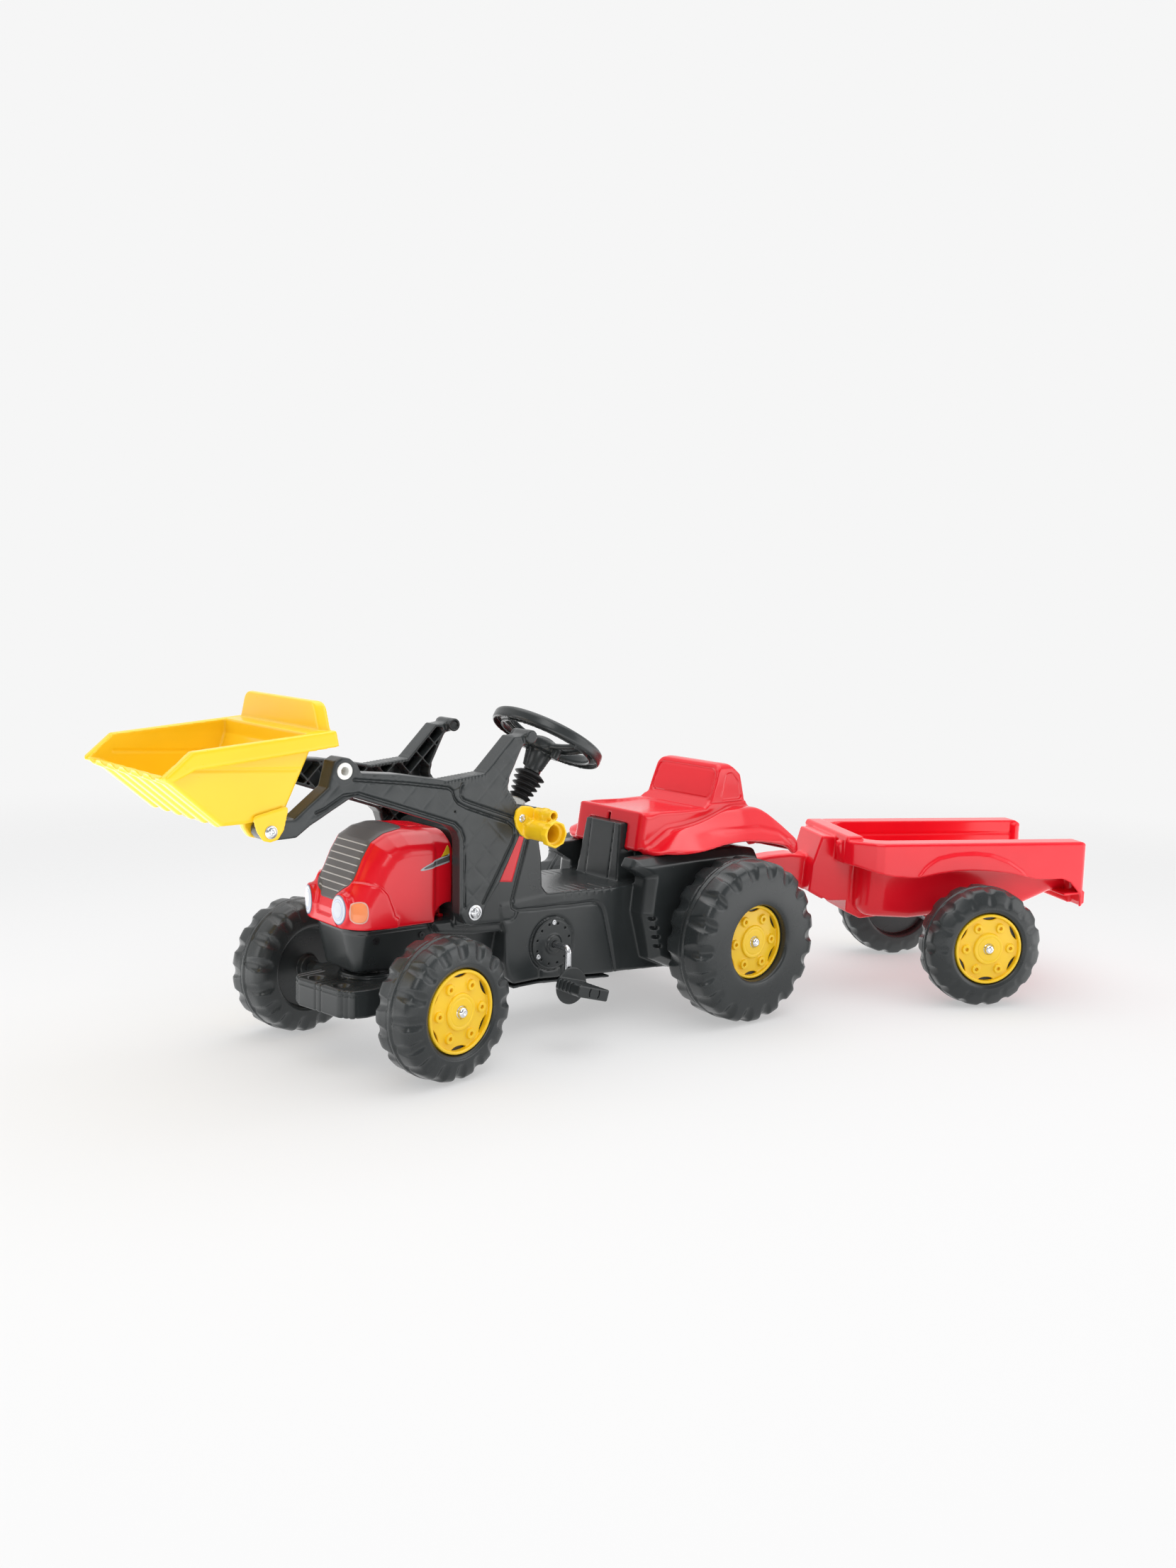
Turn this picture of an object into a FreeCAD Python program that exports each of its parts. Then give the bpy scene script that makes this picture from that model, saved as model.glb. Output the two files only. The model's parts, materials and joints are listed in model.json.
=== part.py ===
import FreeCAD, Part
import Sketcher
import math
import os
from FreeCAD import Vector, Placement, Rotation

# Ride-on pedal tractor with a front loader and a single-axle trailer.
# Lengths in millimetres.  +X is forward, +Y the driver's left, +Z up.
# Every piece is drawn in the tractor's own frame (origin on the ground under
# the rear axle), the steered axle's frame or the trailer's frame, and is then
# placed so that the origin is the middle of the footprint, on the ground.

doc = FreeCAD.newDocument("ride_on_tractor")
sheet = doc.addObject("Spreadsheet::Sheet", "Sheet")

CELLS = [
    ("origin_x", 109.14), ("origin_y", 101.33),
    ("wheelbase", 614.2), ("steer_rest", 8.94),
    ("hitch_back", 139.5), ("trailer_yaw", -26.73),
    ("rear_radius", 137.5), ("rear_half", 47.0), ("rear_track", 188.3),
    ("front_radius", 106.65), ("front_half", 40.75), ("front_track", 172.3),
    ("trailer_track", 192.5), ("trailer_axle_back", 417.8),
    ("rod_radius", 6.0), ("wheel_bore", 6.06), ("cap_radius", 62.7),
    ("cap_recess_rear", 24.6), ("cap_recess_front", 12.8),
    ("wall", 4.0),
    ("tunnel_half", 88.0), ("dash_half", 80.0), ("nose_half", 62.0),
    ("rear_block_half", 128.0), ("pedestal_half", 44.0), ("pod_half", 40.0),
    ("crank_x", 326.0), ("crank_z", 151.0), ("crank_throw", 58.0),
    ("crank_radius", 5.5), ("crank_bore", 5.56), ("cover_radius", 41.0),
    ("arm_in", 90.0), ("arm_out", 122.0), ("arm_skin", 5.0),
    ("arm_pivot_x", 502.0), ("arm_pivot_z", 228.0),
    ("tip_pivot_x", 843.0), ("tip_pivot_z", 379.0),
    ("pivot_radius", 6.0), ("pivot_bore", 6.06),
    ("bucket_half", 128.0), ("bucket_flange_half", 138.0),
    ("seat_half", 86.0), ("fender_half", 165.0),
    ("tub_half", 112.0), ("tub_flange_half", 148.4),
    ("steer_x", 277.0), ("steer_z", 471.0), ("steer_tilt", 30.0),
    ("steer_turn", 11.62), ("steer_arm", 32.0), ("axle_lever", 36.0), ("shaft_radius", 6.0), ("rim_radius", 86.0),
    ("rim_section", 10.0), ("pin_radius", 6.0), ("kingpin_radius", 8.0),
]
for i, (alias, value) in enumerate(CELLS):
    row = i + 1
    sheet.set("A%d" % row, alias)
    sheet.set("B%d" % row, str(value))
    sheet.setAlias("B%d" % row, alias)
doc.recompute()
NUM = dict(CELLS)


def S(alias):
    return "Sheet." + alias


def ex(v):
    return v if isinstance(v, str) else repr(float(v))


def num(v):
    """The number that a plain value or a simple sheet expression stands for."""
    if not isinstance(v, str):
        return float(v)
    total = 0.0
    for token in v.replace("-", "+-").split("+"):
        token = token.strip()
        if not token:
            continue
        sign = 1.0
        if token.startswith("-"):
            sign, token = -1.0, token[1:].strip()
        product = 1.0
        for factor in token.split("*"):
            factor = factor.strip()
            product *= NUM[factor[6:]] if factor.startswith("Sheet.") else float(factor)
        total += sign * product
    return total


def neg(v):
    """The same value or expression with its sign turned over, term by term."""
    if not isinstance(v, str):
        return -v
    out = []
    for token in v.replace("-", "+-").split("+"):
        token = token.strip()
        if token:
            out.append(token[1:].strip() if token.startswith("-") else "-" + token)
    return " + ".join(out).replace("+ -", "- ")


def new_body(label):
    b = doc.addObject("PartDesign::Body", label)
    b.Label = label
    return b


def origin_item(b, role):
    for f in b.Origin.OriginFeatures:
        if f.Role == role:
            return f


# Offset along the sketch normal for each plane: XZ looks along -Y.
SIGN = {"XY_Plane": 1.0, "XZ_Plane": -1.0, "YZ_Plane": 1.0}
serial = [0]


def sketch(b, role, at):
    serial[0] += 1
    sk = b.newObject("Sketcher::SketchObject", "%s_sk%d" % (b.Name, serial[0]))
    sk.AttachmentSupport = [(origin_item(b, role), "")]
    sk.MapMode = "FlatFace"
    s = SIGN[role]
    sk.AttachmentOffset = Placement(Vector(0, 0, s * num(at)), Rotation())
    if isinstance(at, str):
        sk.setExpression("AttachmentOffset.Base.z", "%g * (%s)" % (s, at))
    return sk


def add_poly(sk, pts):
    n = len(pts)
    first = sk.GeometryCount
    for k in range(n):
        a, c = pts[k], pts[(k + 1) % n]
        sk.addGeometry(Part.LineSegment(Vector(a[0], a[1], 0), Vector(c[0], c[1], 0)), False)
    for k in range(n):
        sk.addConstraint(Sketcher.Constraint("Coincident", first + k, 2, first + (k + 1) % n, 1))


def add_circle(sk, cx, cy, r):
    g = sk.addGeometry(Part.Circle(Vector(num(cx), num(cy), 0), Vector(0, 0, 1), num(r)), False)
    c = sk.addConstraint(Sketcher.Constraint("Radius", g, num(r)))
    if isinstance(r, str):
        sk.renameConstraint(c, "r%d" % g)
        sk.setExpression("Constraints.r%d" % g, r)
    for kind, v in (("DistanceX", cx), ("DistanceY", cy)):
        c = sk.addConstraint(Sketcher.Constraint(kind, -1, 1, g, 3, num(v)))
        if isinstance(v, str):
            sk.renameConstraint(c, "%s%d" % (kind, g))
            sk.setExpression("Constraints.%s%d" % (kind, g), v)


def fill(sk, shapes):
    for sh in shapes:
        if isinstance(sh, list):
            add_poly(sk, sh)
        else:
            add_circle(sk, *sh)


def feature(b, kind, sk, a, c):
    serial[0] += 1
    f = b.newObject("PartDesign::" + kind, "%s_%s%d" % (b.Name, kind.lower(), serial[0]))
    f.Profile = sk
    length = num(c) - num(a)
    f.Length = length
    if isinstance(a, str) or isinstance(c, str):
        f.setExpression("Length", "(%s) - (%s)" % (ex(c), ex(a)))
    sk.Visibility = False
    doc.recompute()
    return f


def pad_xz(b, shapes, y0, y1):
    sk = sketch(b, "XZ_Plane", y1)
    fill(sk, shapes)
    return feature(b, "Pad", sk, y0, y1)


def pocket_xz(b, shapes, y0, y1):
    sk = sketch(b, "XZ_Plane", y0)
    fill(sk, shapes)
    return feature(b, "Pocket", sk, y0, y1)


def pad_xy(b, shapes, z0, z1):
    sk = sketch(b, "XY_Plane", z0)
    fill(sk, shapes)
    return feature(b, "Pad", sk, z0, z1)


def pocket_xy(b, shapes, z0, z1):
    sk = sketch(b, "XY_Plane", z1)
    fill(sk, shapes)
    return feature(b, "Pocket", sk, z0, z1)


def pad_yz(b, shapes, x0, x1):
    sk = sketch(b, "YZ_Plane", x0)
    fill(sk, shapes)
    return feature(b, "Pad", sk, x0, x1)


def pocket_yz(b, shapes, x0, x1):
    sk = sketch(b, "YZ_Plane", x1)
    fill(sk, shapes)
    return feature(b, "Pocket", sk, x0, x1)


def tilted_pocket(b, shapes, at, turn, length):
    """A pocket on a plane turned about Y, cutting along the plane's -Z."""
    sk = sketch(b, "XY_Plane", 0.0)
    sk.AttachmentOffset = Placement(at, Rotation(Vector(0, 1, 0), turn))
    fill(sk, shapes)
    return feature(b, "Pocket", sk, 0.0, length)


def revolve(b, pts, role="XY_Plane", axis="V_Axis"):
    sk = sketch(b, role, 0.0)
    add_poly(sk, pts)
    serial[0] += 1
    f = b.newObject("PartDesign::Revolution", "%s_rev%d" % (b.Name, serial[0]))
    f.Profile = sk
    f.ReferenceAxis = (sk, [axis])
    f.Angle = 360.0
    sk.Visibility = False
    doc.recompute()
    return f


def polar(b, feats, axis_role, count, angle=360.0):
    serial[0] += 1
    p = b.newObject("PartDesign::PolarPattern", "%s_polar%d" % (b.Name, serial[0]))
    p.Originals = feats
    p.Axis = (origin_item(b, axis_role), [""])
    p.Angle = angle
    p.Occurrences = count
    b.Tip = p
    doc.recompute()
    return p


def loft(b, sections, kind="AdditiveLoft"):
    """sections: [(x, [(y, z), ...]), ...] on planes across the X axis."""
    sks = []
    for x, pts in sections:
        sk = sketch(b, "YZ_Plane", x)
        add_poly(sk, pts)
        sk.Visibility = False
        sks.append(sk)
    serial[0] += 1
    f = b.newObject("PartDesign::" + kind, "%s_loft%d" % (b.Name, serial[0]))
    f.Profile = sks[0]
    f.Sections = sks[1:]
    f.Ruled = True
    doc.recompute()
    return f


def inset(pts, d):
    """The polygon moved in by d, each corner along its two edges' normals."""
    n = len(pts)
    area = sum(pts[k][0] * pts[(k + 1) % n][1] - pts[(k + 1) % n][0] * pts[k][1] for k in range(n))
    s = 1.0 if area > 0 else -1.0
    out = []
    for k in range(n):
        p0, p1, p2 = pts[k - 1], pts[k], pts[(k + 1) % n]
        ax, ay = p1[0] - p0[0], p1[1] - p0[1]
        bx, by = p2[0] - p1[0], p2[1] - p1[1]
        la, lb = math.hypot(ax, ay), math.hypot(bx, by)
        nax, nay = -ay / la * s, ax / la * s
        nbx, nby = -by / lb * s, bx / lb * s
        dot = 1.0 + nax * nbx + nay * nby
        dot = max(dot, 0.5)
        out.append((p1[0] + d * (nax + nbx) / dot, p1[1] + d * (nay + nby) / dot))
    return out


PIECES = []
FRONT = Placement(Vector(NUM["wheelbase"], 0, 0), Rotation(Vector(0, 0, 1), NUM["steer_rest"]))
TRAILER = Placement(Vector(-NUM["hitch_back"], 0, 0), Rotation(Vector(0, 0, 1), NUM["trailer_yaw"]))
TRACTOR = Placement()


def keep(obj, base=TRACTOR, local=None):
    """Stand the piece in the shared frame."""
    p = base if local is None else base.multiply(local)
    shift = Placement(Vector(-NUM["origin_x"], -NUM["origin_y"], 0), Rotation())
    p = shift.multiply(p)
    obj.Placement = p
    if base is TRACTOR and local is None:
        obj.setExpression("Placement.Base.x", "-Sheet.origin_x")
        obj.setExpression("Placement.Base.y", "-Sheet.origin_y")
    elif base is FRONT and local is None:
        obj.setExpression("Placement.Base.x", "Sheet.wheelbase - Sheet.origin_x")
        obj.setExpression("Placement.Base.y", "-Sheet.origin_y")
    elif base is TRAILER and local is None:
        obj.setExpression("Placement.Base.x", "-Sheet.hitch_back - Sheet.origin_x")
        obj.setExpression("Placement.Base.y", "-Sheet.origin_y")
    PIECES.append(obj)
    return obj


def both(shapes, b, y0, y1, pocket=False):
    """The same outline on the left (y0..y1) and on the right (-y1..-y0)."""
    f = pocket_xz if pocket else pad_xz
    f(b, shapes, y0, y1)
    f(b, shapes, neg(y1), neg(y0))


# ------------------------------------------------------------------ chassis
ch = new_body("chassis_body")
tunnel = [(-106, 112), (-60, 84), (72, 76.3), (198.6, 84.2), (254.4, 88.5), (349.9, 95.1),
          (398.6, 94), (411.6, 105.3), (417.8, 129.4), (419, 179.3), (430, 215), (336.7, 233.5),
          (150, 229), (-106, 229)]
pad_xz(ch, [tunnel], "-" + S("tunnel_half"), S("tunnel_half"))
rear_block = [(136, 104), (159.5, 184), (152, 243), (185, 262), (176, 277), (90, 278),
              (-62, 278), (-98, 272), (-106, 258), (-106, 112), (-60, 84), (72, 76.3)]
pad_xz(ch, [rear_block], "-" + S("rear_block_half"), S("rear_block_half"))
# the footplate runs back between the two guards as far as the pedestal
pocket_xz(ch, [[(134, 230), (134, 290), (200, 290), (200, 230)]], -84.0, 84.0)
dash = [(330, 228), (346, 246), (349, 293), (354, 317), (354, 364), (381, 377), (402, 381),
        (507, 345), (514, 246), (514, 206), (424, 206), (400, 200)]
pad_xz(ch, [dash], "-" + S("dash_half"), S("dash_half"))
pod = [(326, 226), (322, 300), (308, 320), (306, 356), (322, 366), (370, 366), (370, 226)]
pad_xz(ch, [pod], "-" + S("pod_half"), S("pod_half"))
nose = [(408, 112), (440, 120), (560, 133), (663, 140), (678, 205), (676, 209), (514, 211), (420, 211)]
pad_xz(ch, [nose], "-" + S("nose_half"), S("nose_half"))
pedestal = [(162, 226), (153, 325), (120, 328), (-50, 328), (-50, 270), (100, 240)]
pad_xz(ch, [pedestal], "-" + S("pedestal_half"), S("pedestal_half"))
# hollow from below
pocket_xz(ch, [[(-102, 60), (-102, 225), (150, 225), (334, 229), (424, 211), (415, 180), (413.8, 130),
                (408, 108), (400, 60)]], "-" + S("tunnel_half") + " + " + S("wall"), S("tunnel_half") + " - " + S("wall"))
pocket_xz(ch, [[(-102, 60), (-102, 256), (-95, 268), (-61, 274), (90, 274), (130, 274), (130, 104), (128, 60)]],
          "-" + S("rear_block_half") + " + " + S("wall"), S("rear_block_half") + " - " + S("wall"))
both([[(126, 60), (126, 274), (173, 273), (178, 263.5), (147.7, 245.5), (155.3, 184.5), (131, 104), (128, 60)]], ch,
     88.4, S("rear_block_half") + " - " + S("wall"), True)
pocket_xz(ch, [[(350, 225), (353, 293), (358, 317), (358, 361), (382, 372.6), (401.5, 376.6), (503, 341.6),
                (510, 246), (510, 208), (420, 200), (405, 190)]],
          "-" + S("dash_half") + " + " + S("wall"), S("dash_half") + " - " + S("wall"))
pocket_xz(ch, [[(330, 224), (326, 301), (312, 321.5), (310, 354), (323.4, 362), (375, 362), (375, 224)]],
          "-" + S("pod_half") + " + " + S("wall"), S("pod_half") + " - " + S("wall"))
pocket_xz(ch, [[(400, 60), (400, 205), (512, 207), (672.6, 205), (659, 143), (655, 60)]],
          "-" + S("nose_half") + " + " + S("wall"), S("nose_half") + " - " + S("wall"))
pocket_xz(ch, [[(157.5, 222), (149.2, 321.2), (119, 324), (-46, 324), (-46, 268), (98, 230)]],
          "-" + S("pedestal_half") + " + " + S("wall"), S("pedestal_half") + " - " + S("wall"))
# kingpin post inside the nose, with webs to the nose roof and sides
pad_xy(ch, [(S("wheelbase"), 0.0, 20.0)], 132.0, 206.0)
pad_xy(ch, [[(610, -60), (618, -60), (618, 60), (610, 60)]], 172.0, 206.0)
pocket_xy(ch, [(S("wheelbase"), 0.0, S("kingpin_radius"))], 120.0, 200.0)
# cross tube for the loader pivots
pad_xz(ch, [(S("arm_pivot_x"), S("arm_pivot_z"), 13.0)], -88.0, 88.0)
pocket_xz(ch, [(S("arm_pivot_x"), S("arm_pivot_z"), S("pivot_radius"))], -90.0, 90.0)
# lower steering bearing web and the tilted bore for the column
pad_xy(ch, [[(372, -77), (440, -77), (440, 77), (372, 77)]], 240.0, 252.0)
tilted_pocket(ch, [(0.0, 0.0, 6.5)], Vector(NUM["steer_x"], 0, NUM["steer_z"]), -NUM["steer_tilt"], 272.0)
tilted_pocket(ch, [(0.0, 0.0, 12.5)], Vector(NUM["steer_x"], 0, NUM["steer_z"]), -NUM["steer_tilt"], 190.0)
# rear axle bush seats and crank cover seats
pocket_xz(ch, [(0.0, S("rear_radius"), 12.0)], -140.0, 140.0)
pocket_xz(ch, [(S("crank_x"), S("crank_z"), 29.8)], -95.0, 95.0)
# chain guide rib under the footplate
pad_xz(ch, [[(120, 192.5), (220, 196.5), (220, 227), (120, 227)]], -32.0, -24.0)
# cover and seat screw pilot holes
pocket_xz(ch, [(NUM["crank_x"] + 35.0 * math.cos(math.radians(a)), NUM["crank_z"] + 35.0 * math.sin(math.radians(a)), 2.0) for a in (90.0, 210.0, 330.0)], -95.0, 95.0)
pocket_xy(ch, [(30.0, 30.0, 2.5), (30.0, -30.0, 2.5)], 315.0, 335.0)
pocket_xz(ch, [(560.0, 190.0, 2.0), (640.0, 190.0, 2.0)], -70.0, 70.0)
pocket_yz(ch, [(26.0, 225.0, 2.6), (-26.0, 225.0, 2.6)], -110.0, -100.0)
keep(ch)

# ------------------------------------------------------------------ belly cover
bc = new_body("belly_cover")
belly = [(200, 80.2), (254.4, 84.4), (349.9, 91.0), (398, 90.0), (398, 86.0), (350, 87.0), (254.4, 80.4), (200, 76.2)]
pad_xz(bc, [belly], -84.0, 84.0)
pad_xz(bc, [[(285, 86.4), (365, 90.6), (365, 82.0), (355, 78.0), (297, 74.0), (285, 78.0)]], -40.0, 40.0)
pad_xz(bc, [[(206, 80.6), (212, 81.1), (212, 100.0), (206, 100.0)]], -83.9, -76.0)
pad_xz(bc, [[(206, 80.6), (212, 81.1), (212, 100.0), (206, 100.0)]], 76.0, 83.9)
pad_xz(bc, [[(386, 88.0), (392, 88.0), (392, 110.0), (386, 110.0)]], -83.9, -76.0)
pad_xz(bc, [[(386, 88.0), (392, 88.0), (392, 110.0), (386, 110.0)]], 76.0, 83.9)
keep(bc)

# ------------------------------------------------------------------ bonnet
bo = new_body("bonnet")


def bonnet_section(yb, zb, zm, yt, zt):
    return [(-yb, zb), (-yb, zm), (-yt, zt), (yt, zt), (yb, zm), (yb, zb)]


loft(bo, [(516.0, bonnet_section(85, 213, 320, 62, 345)), (592.0, bonnet_section(84, 213, 323, 55, 350.5)),
          (640.0, bonnet_section(82, 212, 300, 50, 334)), (664.0, bonnet_section(79, 211, 262, 49, 287)),
          (684.0, bonnet_section(75, 210, 226, 46, 247))])
loft(bo, [(510.0, bonnet_section(81, 205, 318, 60, 341)), (592.0, bonnet_section(80, 205, 321, 53.5, 346.5)),
          (639.0, bonnet_section(78, 205, 298, 48.5, 329.5)), (661.5, bonnet_section(75, 205, 260, 47, 282.5)),
          (680.0, bonnet_section(71, 205, 222, 44, 242))], "SubtractiveLoft")
for side in (44.5, -44.5):
    pad_yz(bo, [[(side + 16.5 * math.cos(math.radians(15 * k)), 239.0 + 22.0 * math.sin(math.radians(15 * k))) for k in range(24)]], 672.0, 690.0)
# fixing tabs down the inside of the nose top
pad_xz(bo, [[(552, 182), (568, 182), (568, 215), (552, 215)], [(632, 182), (648, 182), (648, 215), (632, 215)]], 62.2, 65.2)
pad_xz(bo, [[(552, 182), (568, 182), (568, 215), (552, 215)], [(632, 182), (648, 182), (648, 215), (632, 215)]], -65.2, -62.2)
pad_xz(bo, [[(552, 211.5), (568, 211.5), (568, 215), (552, 215)], [(632, 211.5), (648, 211.5), (648, 215), (632, 215)]], 62.2, 82.0)
pad_xz(bo, [[(552, 211.5), (568, 211.5), (568, 215), (552, 215)], [(632, 211.5), (648, 211.5), (648, 215), (632, 215)]], -82.0, -62.2)
pocket_xz(bo, [(560.0, 190.0, 2.2), (640.0, 190.0, 2.2)], -70.0, 70.0)
keep(bo)


def screw_group(label, items):
    """Pan-head screws: (base point, direction, shank radius, shank length, head radius, head height)."""
    solids = []
    for p, d, rs, ls, rh, hh in items:
        d = Vector(*d)
        shank = Part.makeCylinder(rs, ls, Vector(*p), d)
        head = Part.makeCylinder(rh, hh, Vector(*p) - d * hh, d)
        slot = Part.makeBox(rh * 0.5, rh * 0.5, hh)
        slot.translate(Vector(-rh * 0.25, -rh * 0.25, -hh * 0.5))
        slot.Placement = Placement(Vector(*p) - d * hh, Rotation(Vector(0, 0, 1), d)).multiply(slot.Placement)
        one = shank.fuse(head).cut(slot).removeSplitter()
        solids.append(one.Solids[0])
    f = doc.addObject("Part::Feature", label)
    f.Label = label
    f.Shape = Part.makeCompound(solids)
    return f


items = []
for x in (560.0, 640.0):
    items.append(((x, 65.2, 190.0), (0, -1, 0), 2.0, 7.2, 5.0, 2.6))
    items.append(((x, -65.2, 190.0), (0, 1, 0), 2.0, 7.2, 5.0, 2.6))
keep(screw_group("bonnet_screws", items))

# ------------------------------------------------------------------ seat with mudguards
se = new_body("seat_mudguards")
seat_side = [(146, 283), (137, 347), (100, 345), (46, 342.6), (-8, 344), (-21, 356), (-39, 408), (-44, 416),
             (-54, 420), (-70, 418), (-92, 399), (-106, 338), (-112, 300), (-110, 282)]
pad_xz(se, [seat_side], "-" + S("seat_half"), S("seat_half"))
fender = [(137, 284), (100, 318), (62, 336), (19, 345), (-9, 350), (-97, 347), (-130, 322), (-159.5, 289.4),
          (-175, 265.5), (-147, 264.7), (-120, 281), (-56, 292), (30, 290), (112, 283.7)]
both([fender], se, S("seat_half") + " - 6.0", S("fender_half"))
pocket_xz(se, [[(141.4, 270), (141.4, 287), (133.6, 342.6), (100, 341), (46, 338.6), (-11, 340), (-25, 355),
                (-43, 409), (-47, 412.5), (-56, 415.8), (-68, 413.8), (-88, 396), (-102, 338), (-107.8, 300), (-106, 270)]],
          "-" + S("seat_half") + " + " + S("wall"), S("seat_half") + " - " + S("wall"))
# the front corner of each mudguard is cut back and its outer face leans inwards
corner = [(150, 104), (136, 108), (105, 155), (80, 170), (150, 170)]
pocket_xy(se, [corner, [(x, -y) for x, y in corner]], 270.0, 360.0)
lean = [(165.0, 292), (137.7, 351), (137.7, 360), (170, 360), (170, 292)]
pocket_yz(se, [lean, [(-y, z) for y, z in lean]], -185.0, 150.0)
# hollow under the mudguards, stepped along the leaning face
tail = [(-156, 286.6), (-166, 269.4), (-166, 255)]
both([[(86, 270), (86, 320.5), (60, 331.6), (18, 341), (-9, 346), (-95.4, 343), (-127, 319)] + tail], se,
     S("seat_half") + " + " + S("wall"), 136.0, True)
both([[(86, 270), (86, 320.5), (66, 329), (-113.8, 329), (-127, 319)] + tail], se, 135.5, 144.0, True)
both([[(86, 270), (86, 314), (-131.5, 314)] + tail], se, 143.5, 151.0, True)
both([[(86, 270), (86, 299), (-144.9, 299)] + tail], se, 150.5, 158.0, True)
# opening in the front for the pedestal
pocket_yz(se, [[(-49, 270), (-49, 327), (49, 327), (49, 270)]], 125.0, 160.0)
pocket_yz(se, [[(-3, 326), (-3, 336), (3, 336), (3, 326)]], 125.0, 160.0)
# rest pads on the pedestal top, with the screw holes
pad_xy(se, [(30.0, 30.0, 9.0), (30.0, -30.0, 9.0)], 328.0, 340.0)
pocket_xy(se, [(30.0, 30.0, 2.5), (30.0, -30.0, 2.5)], 320.0, 338.0)
keep(se)
keep(screw_group("seat_screws", [((30.0, 30.0, 324.0), (0, 0, 1), 2.5, 13.5, 6.0, 3.0),
                                 ((30.0, -30.0, 324.0), (0, 0, 1), 2.5, 13.5, 6.0, 3.0)]))


# ------------------------------------------------------------------ wheels
def tyre_profile(R, half, rec, bore, hub):
    y1 = half - rec
    out = [(bore, y1), (64.0, y1), (64.0, half - 3.0), (67.0, half - 0.5), (0.62 * R, half), (R - 24.0, half - 1.5),
           (R - 12.0, half - 7.0), (R - 4.5, half - 15.0), (R - 1.0, half - 25.0), (R, 8.0),
           (R, -8.0), (R - 1.0, -half + 25.0), (R - 4.5, -half + 15.0), (R - 12.0, -half + 7.0),
           (R - 17.0, -half + 3.5), (R - 20.0, -half + 3.5), (R - 20.0, half - 12.0), (R - 25.0, half - 7.0),
           (70.0, half - 6.0), (69.0, half - 8.0), (69.0, y1 - 8.0), (19.0, y1 - 8.0), (19.0, -half + hub), (bore, -half + hub)]
    return out


def make_tyre(label, R, half, rec, bore, lugs, hub):
    b = new_body(label)
    revolve(b, tyre_profile(R, half, rec, bore, hub))
    r = math.pi * R / lugs * 0.56
    p = pocket_xz(b, [(R - 1.0, 0.0, r)], 6.0, half + 2.0)
    polar(b, [p], "Y_Axis", lugs)
    a = math.pi / lugs
    p = pocket_xz(b, [((R - 1.0) * math.cos(a), (R - 1.0) * math.sin(a), r)], -half - 2.0, -6.0)
    polar(b, [p], "Y_Axis", lugs)
    return b


def make_cap(label, half, rec):
    """Wheel cover: dished disc with a rim, a raised ring, bosses and edge slots."""
    b = new_body(label)
    y1 = half - rec
    revolve(b, [(7.0, y1), (62.5, y1), (62.5, y1 + 10.0), (58.5, y1 + 10.0), (55.0, y1 + 4.5), (30.0, y1 + 6.0),
                (27.0, y1 + 9.0), (13.0, y1 + 9.0), (11.5, y1 + 6.5), (7.0, y1 + 6.5)])
    p = pad_xz(b, [(42.0, 0.0, 7.4)], y1 + 4.0, y1 + 9.2)
    polar(b, [p], "Y_Axis", 6)
    p = pocket_xz(b, [(42.0, 0.0, 3.0)], y1 + 3.0, y1 + 12.0)
    polar(b, [p], "Y_Axis", 6)
    c, s = math.cos(math.radians(30)), math.sin(math.radians(30))
    slot = [(57.0, -13.0), (59.5, -6.5), (60.3, 0.0), (59.5, 6.5), (57.0, 13.0), (54.2, 6.5), (53.4, 0.0), (54.2, -6.5)]
    p = pocket_xz(b, [[(x * c - z * s, x * s + z * c) for x, z in slot]], y1 - 1.0, y1 + 12.0)
    polar(b, [p], "Y_Axis", 6)
    return b


def push_caps(label, y, z):
    """Domed push-on caps on the two ends of an axle."""
    solids = []
    for s in (1, -1):
        dome = Part.makeSphere(15.0, Vector(0, 0, 0)).common(Part.makeCylinder(9.0, 8.0, Vector(0, 0, 9.5), Vector(0, 0, 1)))
        ring = Part.makeCylinder(9.0, 5.6, Vector(0, 0, 4.0), Vector(0, 0, 1))
        one = ring.fuse(dome).cut(Part.makeCylinder(NUM["rod_radius"], 5.0, Vector(0, 0, 3.0), Vector(0, 0, 1))).removeSplitter()
        one = one.Solids[0]
        one.Placement = Placement(Vector(0, s * (y - 8.0), z), Rotation(Vector(0, 0, 1), Vector(0, s, 0)))
        solids.append(one)
    f = doc.addObject("Part::Feature", label)
    f.Label = label
    f.Shape = Part.makeCompound(solids)
    return f


def rod(label, r, y, z):
    b = new_body(label)
    pad_xz(b, [(0.0, z, r)], -y, y)
    return b


FLIP = Rotation(Vector(0, 0, 1), 180)


def wheel_pair(names, base, x, z, track, R, half, rec, lugs, hub=6.0):
    left_t, left_c, right_t, right_c = names
    for lt, lc, s in ((left_t, left_c, 1), (right_t, right_c, -1)):
        t = make_tyre(lt, R, half, rec, NUM["wheel_bore"], lugs, hub)
        c = make_cap(lc, half, rec)
        loc = Placement(Vector(x, s * track, z), Rotation() if s > 0 else FLIP)
        keep(t, base, loc)
        keep(c, base, loc)


# rear axle
wheel_pair(("rear_tyre_left", "rear_cap_left", "rear_tyre_right", "rear_cap_right"), TRACTOR, 0.0, NUM["rear_radius"],
           NUM["rear_track"], NUM["rear_radius"], NUM["rear_half"], NUM["cap_recess_rear"], 18, 3.0)
REAR_END = NUM["rear_track"] + NUM["rear_half"] - NUM["cap_recess_rear"] + 10.0
keep(rod("rear_axle_rod", S("rod_radius"), REAR_END, S("rear_radius")))
keep(push_caps("rear_push_caps", REAR_END + 3.3, NUM["rear_radius"]))


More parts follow.
